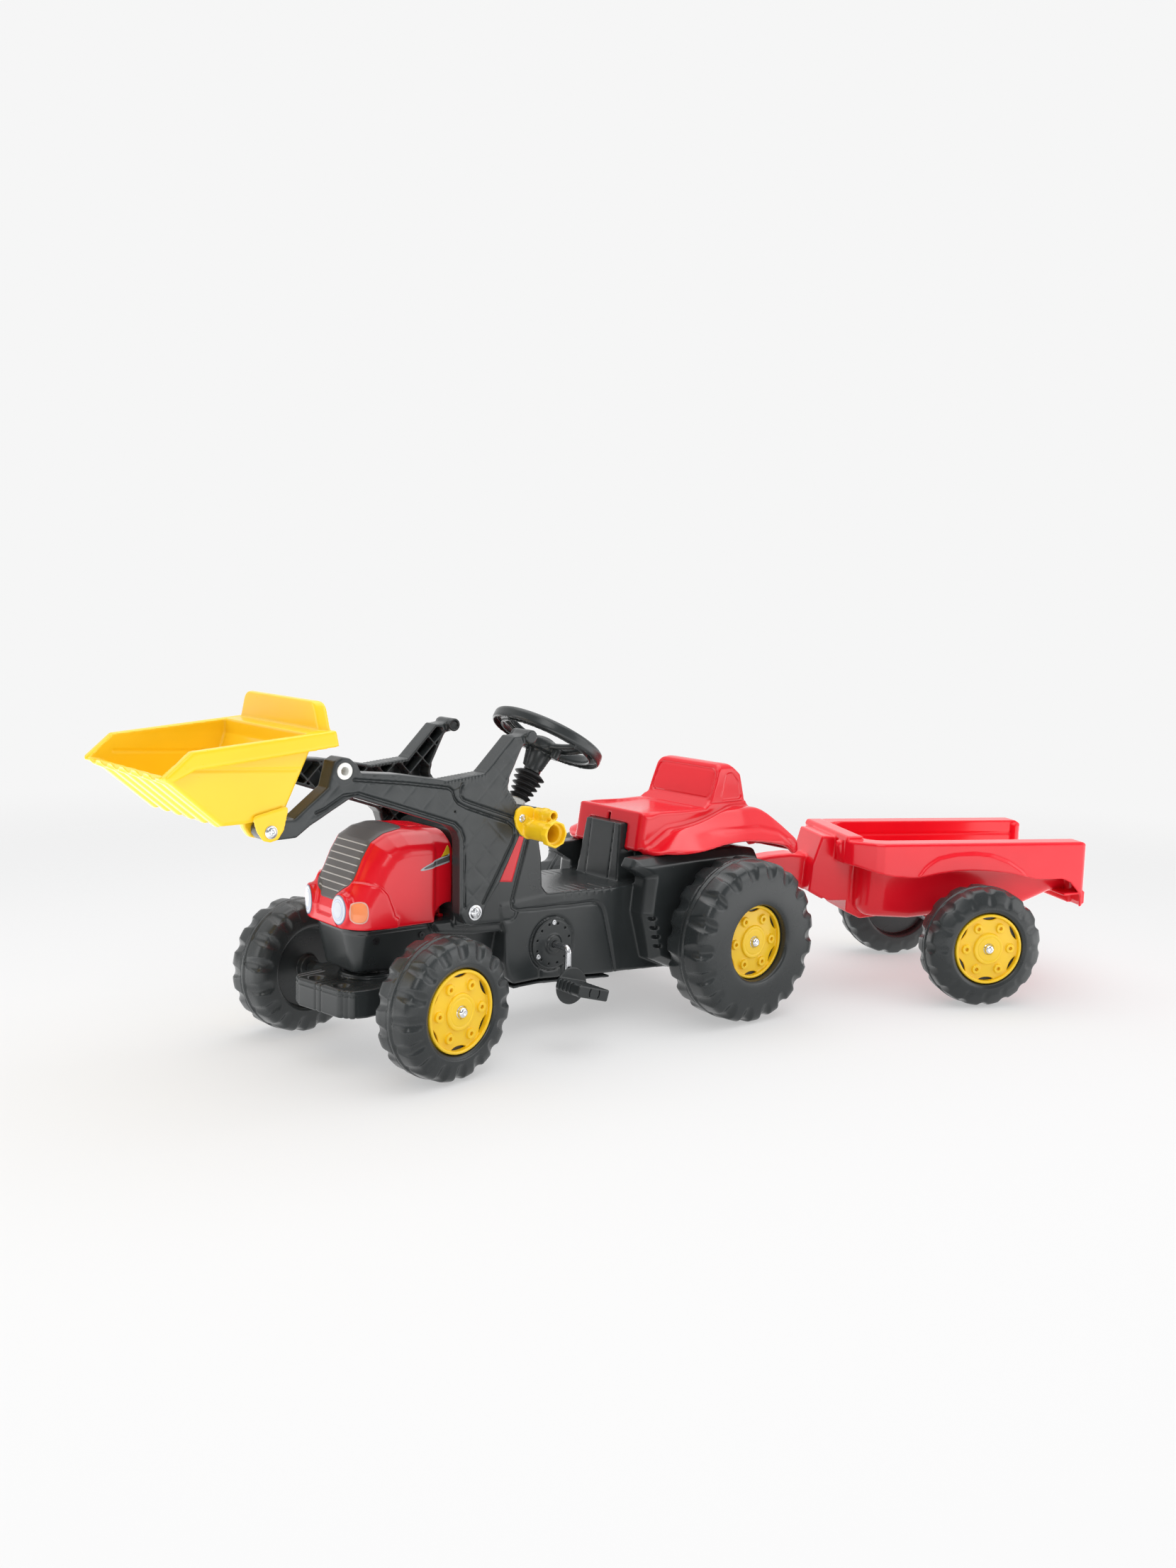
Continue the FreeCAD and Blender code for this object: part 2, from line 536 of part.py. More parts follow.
def axle_bush(label, side):
    """Flanged bush in the chassis wall with a spacer sleeve out to the wheel hub."""
    b = new_body(label)
    pts = [(NUM["wheel_bore"], 116.0), (12.0, 116.0), (12.0, 128.0), (18.0, 128.0), (18.0, 130.5), (10.5, 130.5),
           (10.5, 143.7), (NUM["wheel_bore"], 143.7)]
    revolve(b, pts)
    return keep(b, TRACTOR, Placement(Vector(0, 0, NUM["rear_radius"]), Rotation() if side > 0 else FLIP))


axle_bush("rear_bush_left", 1)
axle_bush("rear_bush_right", -1)


# ------------------------------------------------------------------ drive
def sprocket(label, teeth, r_root, r_tip, y0, y1, bore):
    b = new_body(label)
    pts = []
    for k in range(teeth):
        a = 2 * math.pi * k / teeth
        p = 2 * math.pi / teeth
        for f, r in ((-0.34, r_root), (-0.14, r_tip), (0.14, r_tip), (0.34, r_root)):
            pts.append((r * math.cos(a + f * p), r * math.sin(a + f * p)))
    pad_xz(b, [pts, (0.0, 0.0, bore)], y0, y1)
    pad_xz(b, [(0.0, 0.0, 16.0), (0.0, 0.0, bore)], y0 - 6.0, y0)
    return b


cs = sprocket("crank_sprocket", 24, 34.5, 40.0, -30.0, -26.0, S("crank_radius"))
CRANK = Placement(Vector(NUM["crank_x"], 0, NUM["crank_z"]), Rotation())
keep(cs, TRACTOR, CRANK)
asp = sprocket("axle_sprocket", 16, 22.0, 27.5, -30.0, -26.0, S("rod_radius"))
keep(asp, TRACTOR, Placement(Vector(0, 0, NUM["rear_radius"]), Rotation()))

# chain: two side-plate loops and the rollers of the free runs
DX, DZ = NUM["crank_x"], NUM["crank_z"] - NUM["rear_radius"]
DIST = math.hypot(DX, DZ)
ANG = math.atan2(DZ, DX)


def loop_face(r0, r1):
    """Belt outline round the two sprockets, in X-Z, r0 at the axle and r1 at the crank."""
    beta = math.asin((r1 - r0) / DIST)
    pts = []
    for c, r, a0, a1 in (((0.0, 0.0), r0, math.pi / 2 + beta, 3 * math.pi / 2 - beta),
                         ((DIST, 0.0), r1, -math.pi / 2 - beta, math.pi / 2 + beta)):
        pts.append([(c[0] + r * math.cos(a0 + (a1 - a0) * k / 2.0), c[1] + r * math.sin(a0 + (a1 - a0) * k / 2.0)) for k in range(3)])
    rot = lambda p: Vector(p[0] * math.cos(ANG) - p[1] * math.sin(ANG), 0, p[0] * math.sin(ANG) + p[1] * math.cos(ANG))
    a, b = [[rot(p) for p in q] for q in pts]
    edges = [Part.Arc(a[0], a[1], a[2]).toShape(), Part.makeLine(a[2], b[0]), Part.Arc(b[0], b[1], b[2]).toShape(), Part.makeLine(b[2], a[0])]
    return Part.Face(Part.Wire(edges))


plate = loop_face(24.0 + 4.0, 37.0 + 4.0).cut(loop_face(24.0 - 4.0, 37.0 - 4.0))
solids = []
one = plate.extrude(Vector(0, 1.2, 0))
one.translate(Vector(0, -25.4, 0))
two = plate.extrude(Vector(0, 1.2, 0))
two.translate(Vector(0, -31.8, 0))
chain_shape = one.fuse(two)
beta = math.asin((37.0 - 24.0) / DIST)
for side in (1, -1):
    n0 = Vector(-math.sin(beta) * 24.0, 0, side * math.cos(beta) * 24.0)
    n1 = Vector(DIST - math.sin(beta) * 37.0, 0, side * math.cos(beta) * 37.0)
    run = n1 - n0
    for k in range(14):
        t = 0.17 + 0.66 * k / 13.0
        q = n0 + run * t
        q = Vector(q.x * math.cos(ANG) - q.z * math.sin(ANG), -31.8, q.x * math.sin(ANG) + q.z * math.cos(ANG))
        chain_shape = chain_shape.fuse(Part.makeCylinder(3.0, 7.6, q, Vector(0, 1, 0)))
chain_shape = chain_shape.removeSplitter()
chain = doc.addObject("Part::Feature", "drive_chain")
chain.Label = "drive_chain"
chain.Shape = chain_shape.Solids[0]
keep(chain, TRACTOR, Placement(Vector(0, 0, NUM["rear_radius"]), Rotation()))

# crank: one bent rod, left throw down
cr = new_body("pedal_crank")
T, BR, YA = NUM["crank_throw"], 7.4, 130.0
path = sketch(cr, "YZ_Plane", 0.0)
route = [(-193.0, T), (-YA, T), (-YA, 0.0), (YA, 0.0), (YA, -T), (193.0, -T)]


def rounded_path(sk, pts, r):
    """Straight runs joined by tangent arcs, as an open chain in one sketch."""
    prev = Vector(pts[0][0], pts[0][1], 0)
    last = None
    for k in range(1, len(pts)):
        p = Vector(pts[k][0], pts[k][1], 0)
        end = p
        if k < len(pts) - 1:
            u = (p - Vector(pts[k - 1][0], pts[k - 1][1], 0)).normalize()
            v = (Vector(pts[k + 1][0], pts[k + 1][1], 0) - p).normalize()
            half_turn = u.getAngle(v) / 2.0
            t = r * math.tan(half_turn)
            end = p - u * t
        g = sk.addGeometry(Part.LineSegment(prev, end), False)
        if last is not None:
            sk.addConstraint(Sketcher.Constraint("Coincident", last[0], last[1], g, 1))
        if k == len(pts) - 1:
            break
        left = u.x * v.y - u.y * v.x > 0
        normal = Vector(-u.y, u.x, 0) if left else Vector(u.y, -u.x, 0)
        c = end + normal * r
        s1 = p + v * t
        a0 = math.atan2(end.y - c.y, end.x - c.x)
        a1 = math.atan2(s1.y - c.y, s1.x - c.x)
        if not left:
            a0, a1 = a1, a0
        if a1 < a0:
            a1 += 2 * math.pi
        ga = sk.addGeometry(Part.ArcOfCircle(Part.Circle(c, Vector(0, 0, 1), r), a0, a1), False)
        sk.addConstraint(Sketcher.Constraint("Coincident", g, 2, ga, 1 if left else 2))
        last = (ga, 2 if left else 1)
        prev = s1


rounded_path(path, route, BR)
prof = sketch(cr, "XZ_Plane", -193.0)
add_circle(prof, 0.0, T, S("crank_radius"))
pipe = cr.newObject("PartDesign::AdditivePipe", "pedal_crank_pipe")
pipe.Profile = prof
pipe.Spine = (path, [])
doc.recompute()
keep(cr, TRACTOR, CRANK)


COVER_SCREWS = [math.radians(a) for a in (90.0, 210.0, 330.0)]


def crank_cover(label, side):
    """Round bearing cover with a ring of small holes."""
    b = new_body(label)
    revolve(b, [(NUM["crank_bore"], 80.0), (29.7, 80.0), (29.7, 88.0), (NUM["cover_radius"], 88.0),
                (NUM["cover_radius"], 90.0), (39.0, 92.0), (12.0, 92.0), (10.0, 95.0), (NUM["crank_bore"], 95.0)])
    p = pocket_xz(b, [(33.0 * math.cos(math.radians(15)), 33.0 * math.sin(math.radians(15)), 1.7)], 89.0, 96.0)
    polar(b, [p], "Y_Axis", 12)
    pocket_xz(b, [(35.0 * math.cos(a), 35.0 * math.sin(a), 2.1) for a in COVER_SCREWS], 85.0, 97.0)
    return keep(b, TRACTOR, CRANK if side > 0 else CRANK.multiply(Placement(Vector(), FLIP)))


crank_cover("crank_cover_left", 1)
crank_cover("crank_cover_right", -1)
cx, cz = NUM["crank_x"], NUM["crank_z"]
cover_screws = []
for side in (1, -1):
    for a in COVER_SCREWS:
        cover_screws.append(((cx + 35.0 * math.cos(a), side * 92.0, cz + 35.0 * math.sin(a)), (0, -side, 0), 2.0, 9.0, 4.2, 2.4))
keep(screw_group("crank_cover_screws", cover_screws))


# collars that hold the crank endways, inside the covers
def collars(label):
    solids = []
    for s in (1, -1):
        c = Part.makeCylinder(11.0, 6.0, Vector(0, s * 73.5 - (6.0 if s > 0 else 0.0), 0), Vector(0, 1, 0))
        c = c.cut(Part.makeCylinder(NUM["crank_radius"], 200.0, Vector(0, -100, 0), Vector(0, 1, 0)))
        solids.append(c.Solids[0])
    f = doc.addObject("Part::Feature", label)
    f.Label = label
    f.Shape = Part.makeCompound(solids)
    return f


keep(collars("crank_collars"), TRACTOR, CRANK)


def make_pedal(label, side):
    """Block pedal with a round guard disc on its inner end; the bore runs along Y."""
    b = new_body(label)
    pad_xz(b, [(0.0, 0.0, 30.0)], 138.0, 141.0)
    block = [(-32.5, -9.5), (-28, -9.5), (28, -9.5), (32.5, -6.5), (32.5, 6.5), (28, 9.5), (-28, 9.5), (-32.5, 6.5)]
    pad_xz(b, [block[1:]], 141.0, 198.0)
    for k in range(4):
        y0 = 147.0 + 9.0 * k
        pocket_xz(b, [[(29.5, -12), (34, -12), (34, 12), (29.5, 12)]], y0, y0 + 4.5)
    pocket_xz(b, [(0.0, 0.0, S("crank_bore"))], 130.0, 195.0)
    pocket_xz(b, [[(-11, -6.5), (-9, -6.5), (-8, 0), (-9, 6.5), (-11, 6.5), (-10, 0)],
                  [(11, -6.5), (9, -6.5), (8, 0), (9, 6.5), (11, 6.5), (10, 0)]], 194.0, 200.0)
    tilt = Rotation(Vector(0, 1, 0), -16)
    s = 1 if side > 0 else -1
    at = Placement(Vector(0, 0, -s * T), tilt if s > 0 else FLIP.multiply(Rotation(Vector(0, 1, 0), 16)))
    return keep(b, TRACTOR, CRANK.multiply(at))


make_pedal("pedal_left", 1)
make_pedal("pedal_right", -1)

# ------------------------------------------------------------------ front axle
fb = new_body("front_axle_beam")
beam = [(-42, 92), (-36, 82), (70, 80), (90, 86), (95, 100), (92, 118), (80, 125), (-36, 125), (-42, 118)]
pad_xz(fb, [beam], -76.0, 76.0)
both([[(-28, 92), (-22, 86), (22, 86), (28, 92), (28, 118), (22, 123), (-22, 123), (-28, 118)]], fb, 76.0, 100.0)
both([(0.0, S("front_radius"), 11.0)], fb, 100.0, 137.0)
pad_xy(fb, [(0.0, 0.0, 42.0)], 120.0, 131.6)
# upright lever pin that the drag link works on
pad_xy(fb, [(0.0, "-" + S("axle_lever"), 4.0)], 130.0, 160.0)
pocket_xy(fb, [(0.0, 0.0, NUM["kingpin_radius"] + 0.06)], 70.0, 140.0)
# clearance above the axle rod where the kingpin crosses it is on the pin's side
pocket_xz(fb, [(0.0, S("front_radius"), S("rod_radius"))], -140.0, -12.0)
pocket_xz(fb, [(0.0, S("front_radius"), S("rod_radius"))], 12.0, 140.0)
# lightening pocket from below, ahead of the axle
pocket_xy(fb, [[(14, -70), (82, -70), (82, 70), (14, 70)]], 70.0, 117.0)
keep(fb, FRONT)

FRONT_END = NUM["front_track"] + NUM["front_half"] - NUM["cap_recess_front"] + 10.0


def stub(label, y, z, y_in):
    """The two stub ends of the axle, each let into its end of the beam."""
    solids = []
    for s in (1, -1):
        c = Part.makeCylinder(NUM["rod_radius"], y - y_in, Vector(0, s * y_in, z), Vector(0, s, 0))
        solids.append(c)
    f = doc.addObject("Part::Feature", label)
    f.Label = label
    f.Shape = Part.makeCompound(solids)
    return f


keep(stub("front_stub_axles", FRONT_END, NUM["front_radius"], 12.0), FRONT)
keep(push_caps("front_push_caps", FRONT_END + 3.3, NUM["front_radius"]), FRONT)
wheel_pair(("front_tyre_left", "front_cap_left", "front_tyre_right", "front_cap_right"), FRONT, 0.0, NUM["front_radius"],
           NUM["front_track"], NUM["front_radius"], NUM["front_half"], NUM["cap_recess_front"], 16)
kp = new_body("kingpin")
revolve(kp, [(0.0, 73.0), (14.0, 73.0), (14.0, 79.6), (NUM["kingpin_radius"], 79.6), (NUM["kingpin_radius"], 200.0), (0.0, 200.0)], "XZ_Plane")
keep(kp, TRACTOR, Placement(Vector(NUM["wheelbase"], 0, 0), Rotation()))

# ------------------------------------------------------------------ steering
AXIS = Rotation(Vector(0, 1, 0), -NUM["steer_tilt"]).multiply(Rotation(Vector(0, 0, 1), NUM["steer_turn"]))
STEER = Placement(Vector(NUM["steer_x"], 0, NUM["steer_z"]), AXIS)
STILL = Placement(Vector(NUM["steer_x"], 0, NUM["steer_z"]), Rotation(Vector(0, 1, 0), -NUM["steer_tilt"]))

sw = new_body("steering_wheel")
RR, RS = NUM["rim_radius"], NUM["rim_section"]
oct_pts = [(RR + RS * math.cos(a), RS * 0.95 * math.sin(a)) for a in [2 * math.pi * k / 12 for k in range(12)]]
revolve(sw, oct_pts, "XZ_Plane")
pad_xy(sw, [(0.0, 0.0, 25.0)], -24.0, -8.0)
pad_xy(sw, [(0.0, 0.0, 17.0)], -60.0, -24.0)
for a in (90.0, 210.0, 330.0):
    c, s = math.cos(math.radians(a)), math.sin(math.radians(a))
    # each spoke rises from the hub to the rim
    sk_pts = [(-9.0, -22.0), (9.0, -22.0), (9.0, -9.0), (-9.0, -9.0)]
    sk = sketch(sw, "XY_Plane", 0.0)
    sk.AttachmentOffset = Placement(Vector(18.0 * c, 18.0 * s, 0), Rotation(Vector(0, 0, 1), a).multiply(Rotation(Vector(0, 1, 0), 90)).multiply(Rotation(Vector(0, 0, 1), 90)))
    add_poly(sk, sk_pts)
    sk2 = sketch(sw, "XY_Plane", 0.0)
    sk2.AttachmentOffset = Placement(Vector(82.0 * c, 82.0 * s, 0), Rotation(Vector(0, 0, 1), a).multiply(Rotation(Vector(0, 1, 0), 90)).multiply(Rotation(Vector(0, 0, 1), 90)))
    add_poly(sk2, [(-8.0, -5.0), (8.0, -5.0), (8.0, 5.0), (-8.0, 5.0)])
    serial[0] += 1
    f = sw.newObject("PartDesign::AdditiveLoft", "spoke%d" % serial[0])
    f.Profile = sk
    f.Sections = [sk2]
    f.Ruled = True
    doc.recompute()
pocket_xy(sw, [(0.0, 0.0, S("shaft_radius"))], -70.0, -14.0)
keep(sw, TRACTOR, STEER)

hc = new_body("steering_hub_cap")
revolve(hc, [(0.0, -8.0), (20.0, -8.0), (20.0, -5.0), (16.0, -2.0), (0.0, -1.0)], "XZ_Plane")
keep(hc, TRACTOR, STEER)

# straight column rod
sh = new_body("steering_shaft")
pad_xy(sh, [(0.0, 0.0, S("shaft_radius"))], -352.0, -14.0)
keep(sh, TRACTOR, STEER)

# arm on the foot of the column, with a pin pointing down the column
sa = new_body("steering_arm")
pad_xy(sa, [(0.0, 0.0, 12.0)], -352.0, -340.0)
pad_xy(sa, [[(-9, 0), (-8, -32), (-5, -39), (0, -41), (5, -39), (8, -32), (9, 0)]], -352.0, -346.0)
pad_xy(sa, [(0.0, "-" + S("steer_arm"), 4.0)], -364.0, -350.0)
pocket_xy(sa, [(0.0, 0.0, S("shaft_radius"))], -360.0, -330.0)
keep(sa, TRACTOR, STEER)

# drag link from the arm to the lever pin: tilted rear eye, level front eye
th = math.radians(NUM["steer_tilt"])
ph = math.radians(NUM["steer_turn"])
st = math.radians(NUM["steer_rest"])
axis_up = Vector(-math.sin(th), 0, math.cos(th))
e1 = Vector(math.cos(th), 0, math.sin(th))
foot = Vector(NUM["steer_x"], 0, NUM["steer_z"]) - axis_up * 358.0
rear_eye = foot + e1 * (NUM["steer_arm"] * math.sin(ph)) - Vector(0, 1, 0) * (NUM["steer_arm"] * math.cos(ph))
front_eye = Vector(NUM["wheelbase"] + NUM["axle_lever"] * math.sin(st), -NUM["axle_lever"] * math.cos(st), 147.5)
link = Part.makeCylinder(4.0, (front_eye - rear_eye).Length, rear_eye, front_eye - rear_eye)
link = link.fuse(Part.makeCylinder(9.0, 7.0, rear_eye - axis_up * 3.5, axis_up))
link = link.fuse(Part.makeCylinder(11.0, 6.0, front_eye - Vector(0, 0, 3.0), Vector(0, 0, 1)))
link = link.cut(Part.makeCylinder(4.06, 30.0, rear_eye - axis_up * 15.0, axis_up))
link = link.cut(Part.makeCylinder(6.8, 30.0, front_eye - Vector(0, 0, 15.0), Vector(0, 0, 1)))
dl = doc.addObject("Part::Feature", "drag_link")
dl.Label = "drag_link"
dl.Shape = link.removeSplitter().Solids[0]
keep(dl)
print("rear eye", rear_eye, "front eye", front_eye)

cb = new_body("column_bush")
revolve(cb, [(6.06, -136.0), (12.5, -136.0), (12.5, -115.0), (12.0, -113.0), (12.0, -109.0), (6.06, -109.0)], "XZ_Plane")
keep(cb, TRACTOR, STILL)

bl = new_body("column_bellows")
prof_out = []
z0, z1, folds = -66.0, -112.2, 5
for k in range(folds):
    f0 = k / float(folds)
    zc = z0 + (z1 - z0) * f0
    dz = (z1 - z0) / folds
    ro = 26.0 - 10.0 * f0
    prof_out += [(ro - 6.0, zc), (ro, zc + 0.5 * dz)]
prof_out.append((14.0, z1))
prof_in = [(max(r - 2.2, 8.0), z) for r, z in reversed(prof_out)]
prof_in[0] = (12.0, z1)
revolve(bl, prof_out + prof_in, "XZ_Plane")
keep(bl, TRACTOR, STILL)

# ------------------------------------------------------------------ loader
ARM = [(840.7, 392.3), (849.8, 390.7), (855.7, 383.6), (855.7, 374.4), (849.8, 367.3), (843.0, 365.5), (801.5, 366.7), (780.2, 381.5), (720.9, 413.4), (711.3, 416.4),
       (545.4, 362.1), (535.6, 353.2), (530.4, 339.2), (528.1, 226.7), (519.0, 212.0), (505.0, 207.5), (490.0, 213.0),
       (478.0, 240.0), (457.5, 266.0), (420.1, 336.7), (424.9, 386.0), (444.4, 412.2), (441.4, 428.6),
       (415.5, 479.7), (420.0, 491.0), (435.3, 491.6), (488.5, 438.2), (556.4, 431.4), (565.9, 433.8), (637.3, 445.4), (700.0, 451.0),
       (706.0, 463.0), (718.2, 472.0), (732.5, 474.9), (743.4, 469.2), (752.6, 433.7), (804.7, 393.4), (829.5, 392.9)]
ARM.reverse()


def make_arm(label, s):
    b = new_body(label)

    def span(a, c):
        return (a, c) if s > 0 else (-c, -a)
    y0, y1 = NUM["arm_in"], NUM["arm_out"]
    pad_xz(b, [ARM], *((S("arm_in"), S("arm_out")) if s > 0 else ("-" + S("arm_out"), "-" + S("arm_in"))))
    pocket_xz(b, [inset(ARM, NUM["arm_skin"])], *span(y0 - 1.0, y1 - NUM["arm_skin"]))
    pad_xz(b, [(S("arm_pivot_x"), S("arm_pivot_z"), 16.0), (727.6, 455.1, 14.0), (S("tip_pivot_x"), S("tip_pivot_z"), 11.0)], *span(y0, y1 - 1.0))
    pad_xz(b, [(404.0, 490.0, 11.0)], *span(82.0, 126.0))
    pad_xz(b, [[(400, 484), (404, 497), (425, 489), (421, 477)]], *span(y0, y1))
    pocket_xz(b, [(S("arm_pivot_x"), S("arm_pivot_z"), S("pivot_bore")), (727.6, 455.1, 9.0),
                  (S("tip_pivot_x"), S("tip_pivot_z"), S("pivot_bore"))], *span(y0 - 10.0, y1 + 10.0))
    return keep(b)


make_arm("loader_arm_left", 1)
make_arm("loader_arm_right", -1)


def eyelets(label):
    """Flanged tube in the elbow of each arm."""
    solids = []
    for s in (1, -1):
        y = 122.0 if s > 0 else -122.0
        d = Vector(0, -s, 0)
        tube = Part.makeCylinder(9.0, 32.0, Vector(727.6, y, 455.1), d)
        lip = Part.makeCylinder(11.5, 1.6, Vector(727.6, y + s * 1.6, 455.1), d)
        bore = Part.makeCylinder(6.0, 60.0, Vector(727.6, y + s * 10.0, 455.1), d)
        solids.append(tube.fuse(lip).cut(bore).removeSplitter().Solids[0])
    f = doc.addObject("Part::Feature", label)
    f.Label = label
    f.Shape = Part.makeCompound(solids)
    return f


keep(eyelets("arm_eyelets"))
px, pz = NUM["arm_pivot_x"], NUM["arm_pivot_z"]
pivot_bolts = []
for s in (1, -1):
    pivot_bolts.append(((px, s * 122.6, pz), (0, -s, 0), NUM["pivot_radius"], 62.0, 10.0, 5.0))
keep(screw_group("loader_pivot_bolts", pivot_bolts))

# yellow hand grip bolted to the left arm's rear corner
gr = new_body("loader_grip")
plate_pts = [(421, 340), (430, 352), (433, 366), (431, 378), (420, 384), (404, 382), (388, 372), (384, 352), (392, 338), (410, 333)]
pad_xz(gr, [plate_pts], 122.0, 127.0)
pad_xz(gr, [(402.0, 348.0, 15.5)], 127.0, 176.0)
octo = [(402.0 + 21.0 * math.cos(math.radians(22.5 + 45 * k)), 348.0 + 21.0 * math.sin(math.radians(22.5 + 45 * k))) for k in range(8)]
pad_xz(gr, [octo], 176.0, 189.0)
pad_xz(gr, [(390.0, 372.0, 8.5)], 127.0, 166.0)
pocket_xz(gr, [(402.0, 348.0, 13.0)], 135.0, 195.0)
pocket_xz(gr, [(402.0, 348.0, 17.0)], 180.0, 195.0)
pocket_xz(gr, [(390.0, 372.0, 5.0)], 140.0, 170.0)
pocket_xz(gr, [(421.0, 366.0, 3.0)], 115.0, 130.0)
keep(gr)
keep(screw_group("grip_screw", [((421.0 + 0.0, 127.0, 366.0), (0, -1, 0), 3.0, 5.0, 5.5, 3.0)]))

# ------------------------------------------------------------------ bucket
bk = new_body("bucket")
outer = [(757, 513.4), (960, 495), (1001.5, 458.5), (980, 452), (911, 390.3), (877, 391), (836, 396.5), (817, 408),
         (790, 470), (783, 487), (757, 492)]
pad_xz(bk, [outer], "-" + S("bucket_half"), S("bucket_half"))
plate_y = [(-128, 511), (-121, 522), (-116, 535), (-105, 545), (-86, 551.5), (-40, 552.7), (40, 552.7), (86, 551.5), (105, 545), (116, 535),
           (121, 522), (128, 511), (128, 500), (-128, 500)]
pad_yz(bk, [plate_y], 757.0, 762.0)
pocket_xz(bk, [[(1004, 463.2), (978, 456.4), (909.5, 394.5), (877, 395.2), (838, 400.4), (821, 410.5), (794, 471.5),
                (787.5, 489), (787.5, 540), (1004, 540)]], "-" + S("bucket_half") + " + " + S("wall"), S("bucket_half") + " - " + S("wall"))
pocket_xz(bk, [[(762, 480), (762, 508.8), (783, 507), (783, 480)]], "-" + S("bucket_half") + " + " + S("wall"), S("bucket_half") + " - " + S("wall"))
skirt = [(749, 514.2), (960, 495), (1001.5, 458.5), (981, 454.6), (953, 468.2), (783, 485), (741, 491)]
both([skirt], bk, S("bucket_half") + " - 2.0", S("bucket_flange_half"))
skirt_in = [(753, 509.3), (957, 490.6), (990, 461), (985, 440), (741, 440), (747, 495)]
both([skirt_in], bk, S("bucket_half"), S("bucket_flange_half") + " - 3.0", True)
lug = [(822, 402), (824, 380), (832, 367.5), (843, 364.5), (854, 367.5), (862, 380), (864, 394)]
both([lug], bk, 74.0, 88.0)
both([lug], bk, 122.5, 126.6)
pocket_xz(bk, [(S("tip_pivot_x"), S("tip_pivot_z"), S("pivot_radius"))], -130.0, 130.0)
keep(bk)
tx, tz = NUM["tip_pivot_x"], NUM["tip_pivot_z"]
tip_bolts = []
for s in (1, -1):
    tip_bolts.append(((tx, s * 126.6, tz), (0, -s, 0), NUM["pivot_radius"], 52.0, 9.5, 4.5))
keep(screw_group("bucket_pivot_bolts", tip_bolts))

# ------------------------------------------------------------------ hitch
hb = new_body("hitch_bracket")
pad_yz(hb, [[(-32, 196), (32, 196), (32, 252), (-32, 252)]], -112.0, -106.0)
fork = [(-110, -26), (-110, 26)] + [(-139.5 - 22 * math.sin(a), 22 * math.cos(a)) for a in [math.pi * k / 10 for k in range(11)]]
pad_xy(hb, [fork], 205.0, 212.0)
pad_xy(hb, [fork], 238.0, 245.0)
pocket_xy(hb, [("-" + S("hitch_back"), 0.0, S("pin_radius"))], 190.0, 260.0)
pocket_yz(hb, [(26.0, 225.0, 2.6), (-26.0, 225.0, 2.6)], -120.0, -100.0)
keep(hb)
keep(screw_group("hitch_screws", [((-112.0, 26.0, 225.0), (1, 0, 0), 2.6, 9.8, 5.0, 2.6), ((-112.0, -26.0, 225.0), (1, 0, 0), 2.6, 9.8, 5.0, 2.6)]))
hp = new_body("hitch_pin")
revolve(hp, [(0.0, 198.0), (4.0, 198.0), (6.0, 202.0), (6.0, 245.0), (11.0, 245.0), (11.0, 251.0), (8.0, 254.0), (0.0, 254.0)], "XZ_Plane")
keep(hp, TRACTOR, Placement(Vector(-NUM["hitch_back"], 0, 0), Rotation()))

# ------------------------------------------------------------------ trailer
tb = new_body("trailer_tub")
TU, FL = S("tub_half"), S("tub_flange_half")
low = [(-226, 230), (-226.5, 146), (-240, 137), (-326, 133), (-538, 152), (-600, 180), (-642, 184), (-642, 230)]
pad_xz(tb, [low], "-" + TU, TU)
plan = [(-192, -100), (-192, 100), (-200, 116), (-236, 143), (-250, 148.4), (-646, 148.4), (-646, -148.4), (-250, -148.4), (-236, -143), (-200, -116)]
pad_xy(tb, [plan], 213.0, 280.0)
# lower edge of the skirt: rising to the front corners and over the wheels
pocket_xz(tb, [[(-180, 200), (-180, 224), (-225.6, 224), (-225.6, 200)]], -116.0, 116.0)
under = [(-180, 200), (-180, 240), (-209, 235.7), (-267, 221.5), (-308, 218.3), (-352, 225.7), (-385, 230), (-420, 231.5),
         (-455, 229.5), (-490, 225.4), (-520, 219), (-543.6, 213.4), (-597, 213.4), (-660, 213.4), (-660, 200)]
both([under], tb, 115.0, 160.0, True)
# low arch embossed on the skirt over each wheel
arch = [(-323, 230), (-327, 237), (-340, 247), (-353, 254.6), (-385, 261), (-421.5, 262.5), (-455, 258.5), (-488.5, 246.5),
        (-515, 230), (-527, 218.5), (-520, 220), (-490, 226.4), (-455, 230.5), (-420, 232.5), (-385, 231), (-352, 226.7)]
both([arch], tb, 147.0, 150.2)
box = [(-222, 280), (-166, 281.5), (-157, 251), (-150, 229), (-145, 176), (-204, 146), (-250, 124), (-300, 128), (-300, 140), (-236, 170)]
pad_xz(tb, [box], -54.0, 54.0)
bar = [(-172, 238), (-119, 243), (-84, 240), (-60, 236), (-10, 236), (-10, 214), (-60, 214), (-84, 208), (-145, 174), (-165, 180)]
pad_xz(tb, [bar], -22.0, 22.0)
pad_xy(tb, [(0.0, 0.0, 22.0)], 214.0, 236.0)
pocket_xz(tb, [[(-231, 300), (-231, 150), (-262, 141.2), (-326, 137.2), (-538, 156.2), (-600, 184.2), (-660, 188.2), (-660, 300)]],
          "-" + TU + " + " + S("wall"), TU + " - " + S("wall"))
pocket_xy(tb, [[(-640, 112), (-640, 144), (-252, 144), (-238, 139), (-222, 127), (-222, 112)],
               [(-640, -112), (-640, -144), (-252, -144), (-238, -139), (-222, -127), (-222, -112)],
               [(-222, -108), (-196.5, -98), (-196.5, -58), (-222, -58)], [(-222, 108), (-196.5, 98), (-196.5, 58), (-222, 58)]], 205.0, 276.0)
pocket_xz(tb, [[(-221, 276), (-171, 277.5), (-161.5, 251), (-154.5, 229), (-150.5, 180), (-170, 165), (-205, 120), (-221, 120)]], -50.0, 50.0)
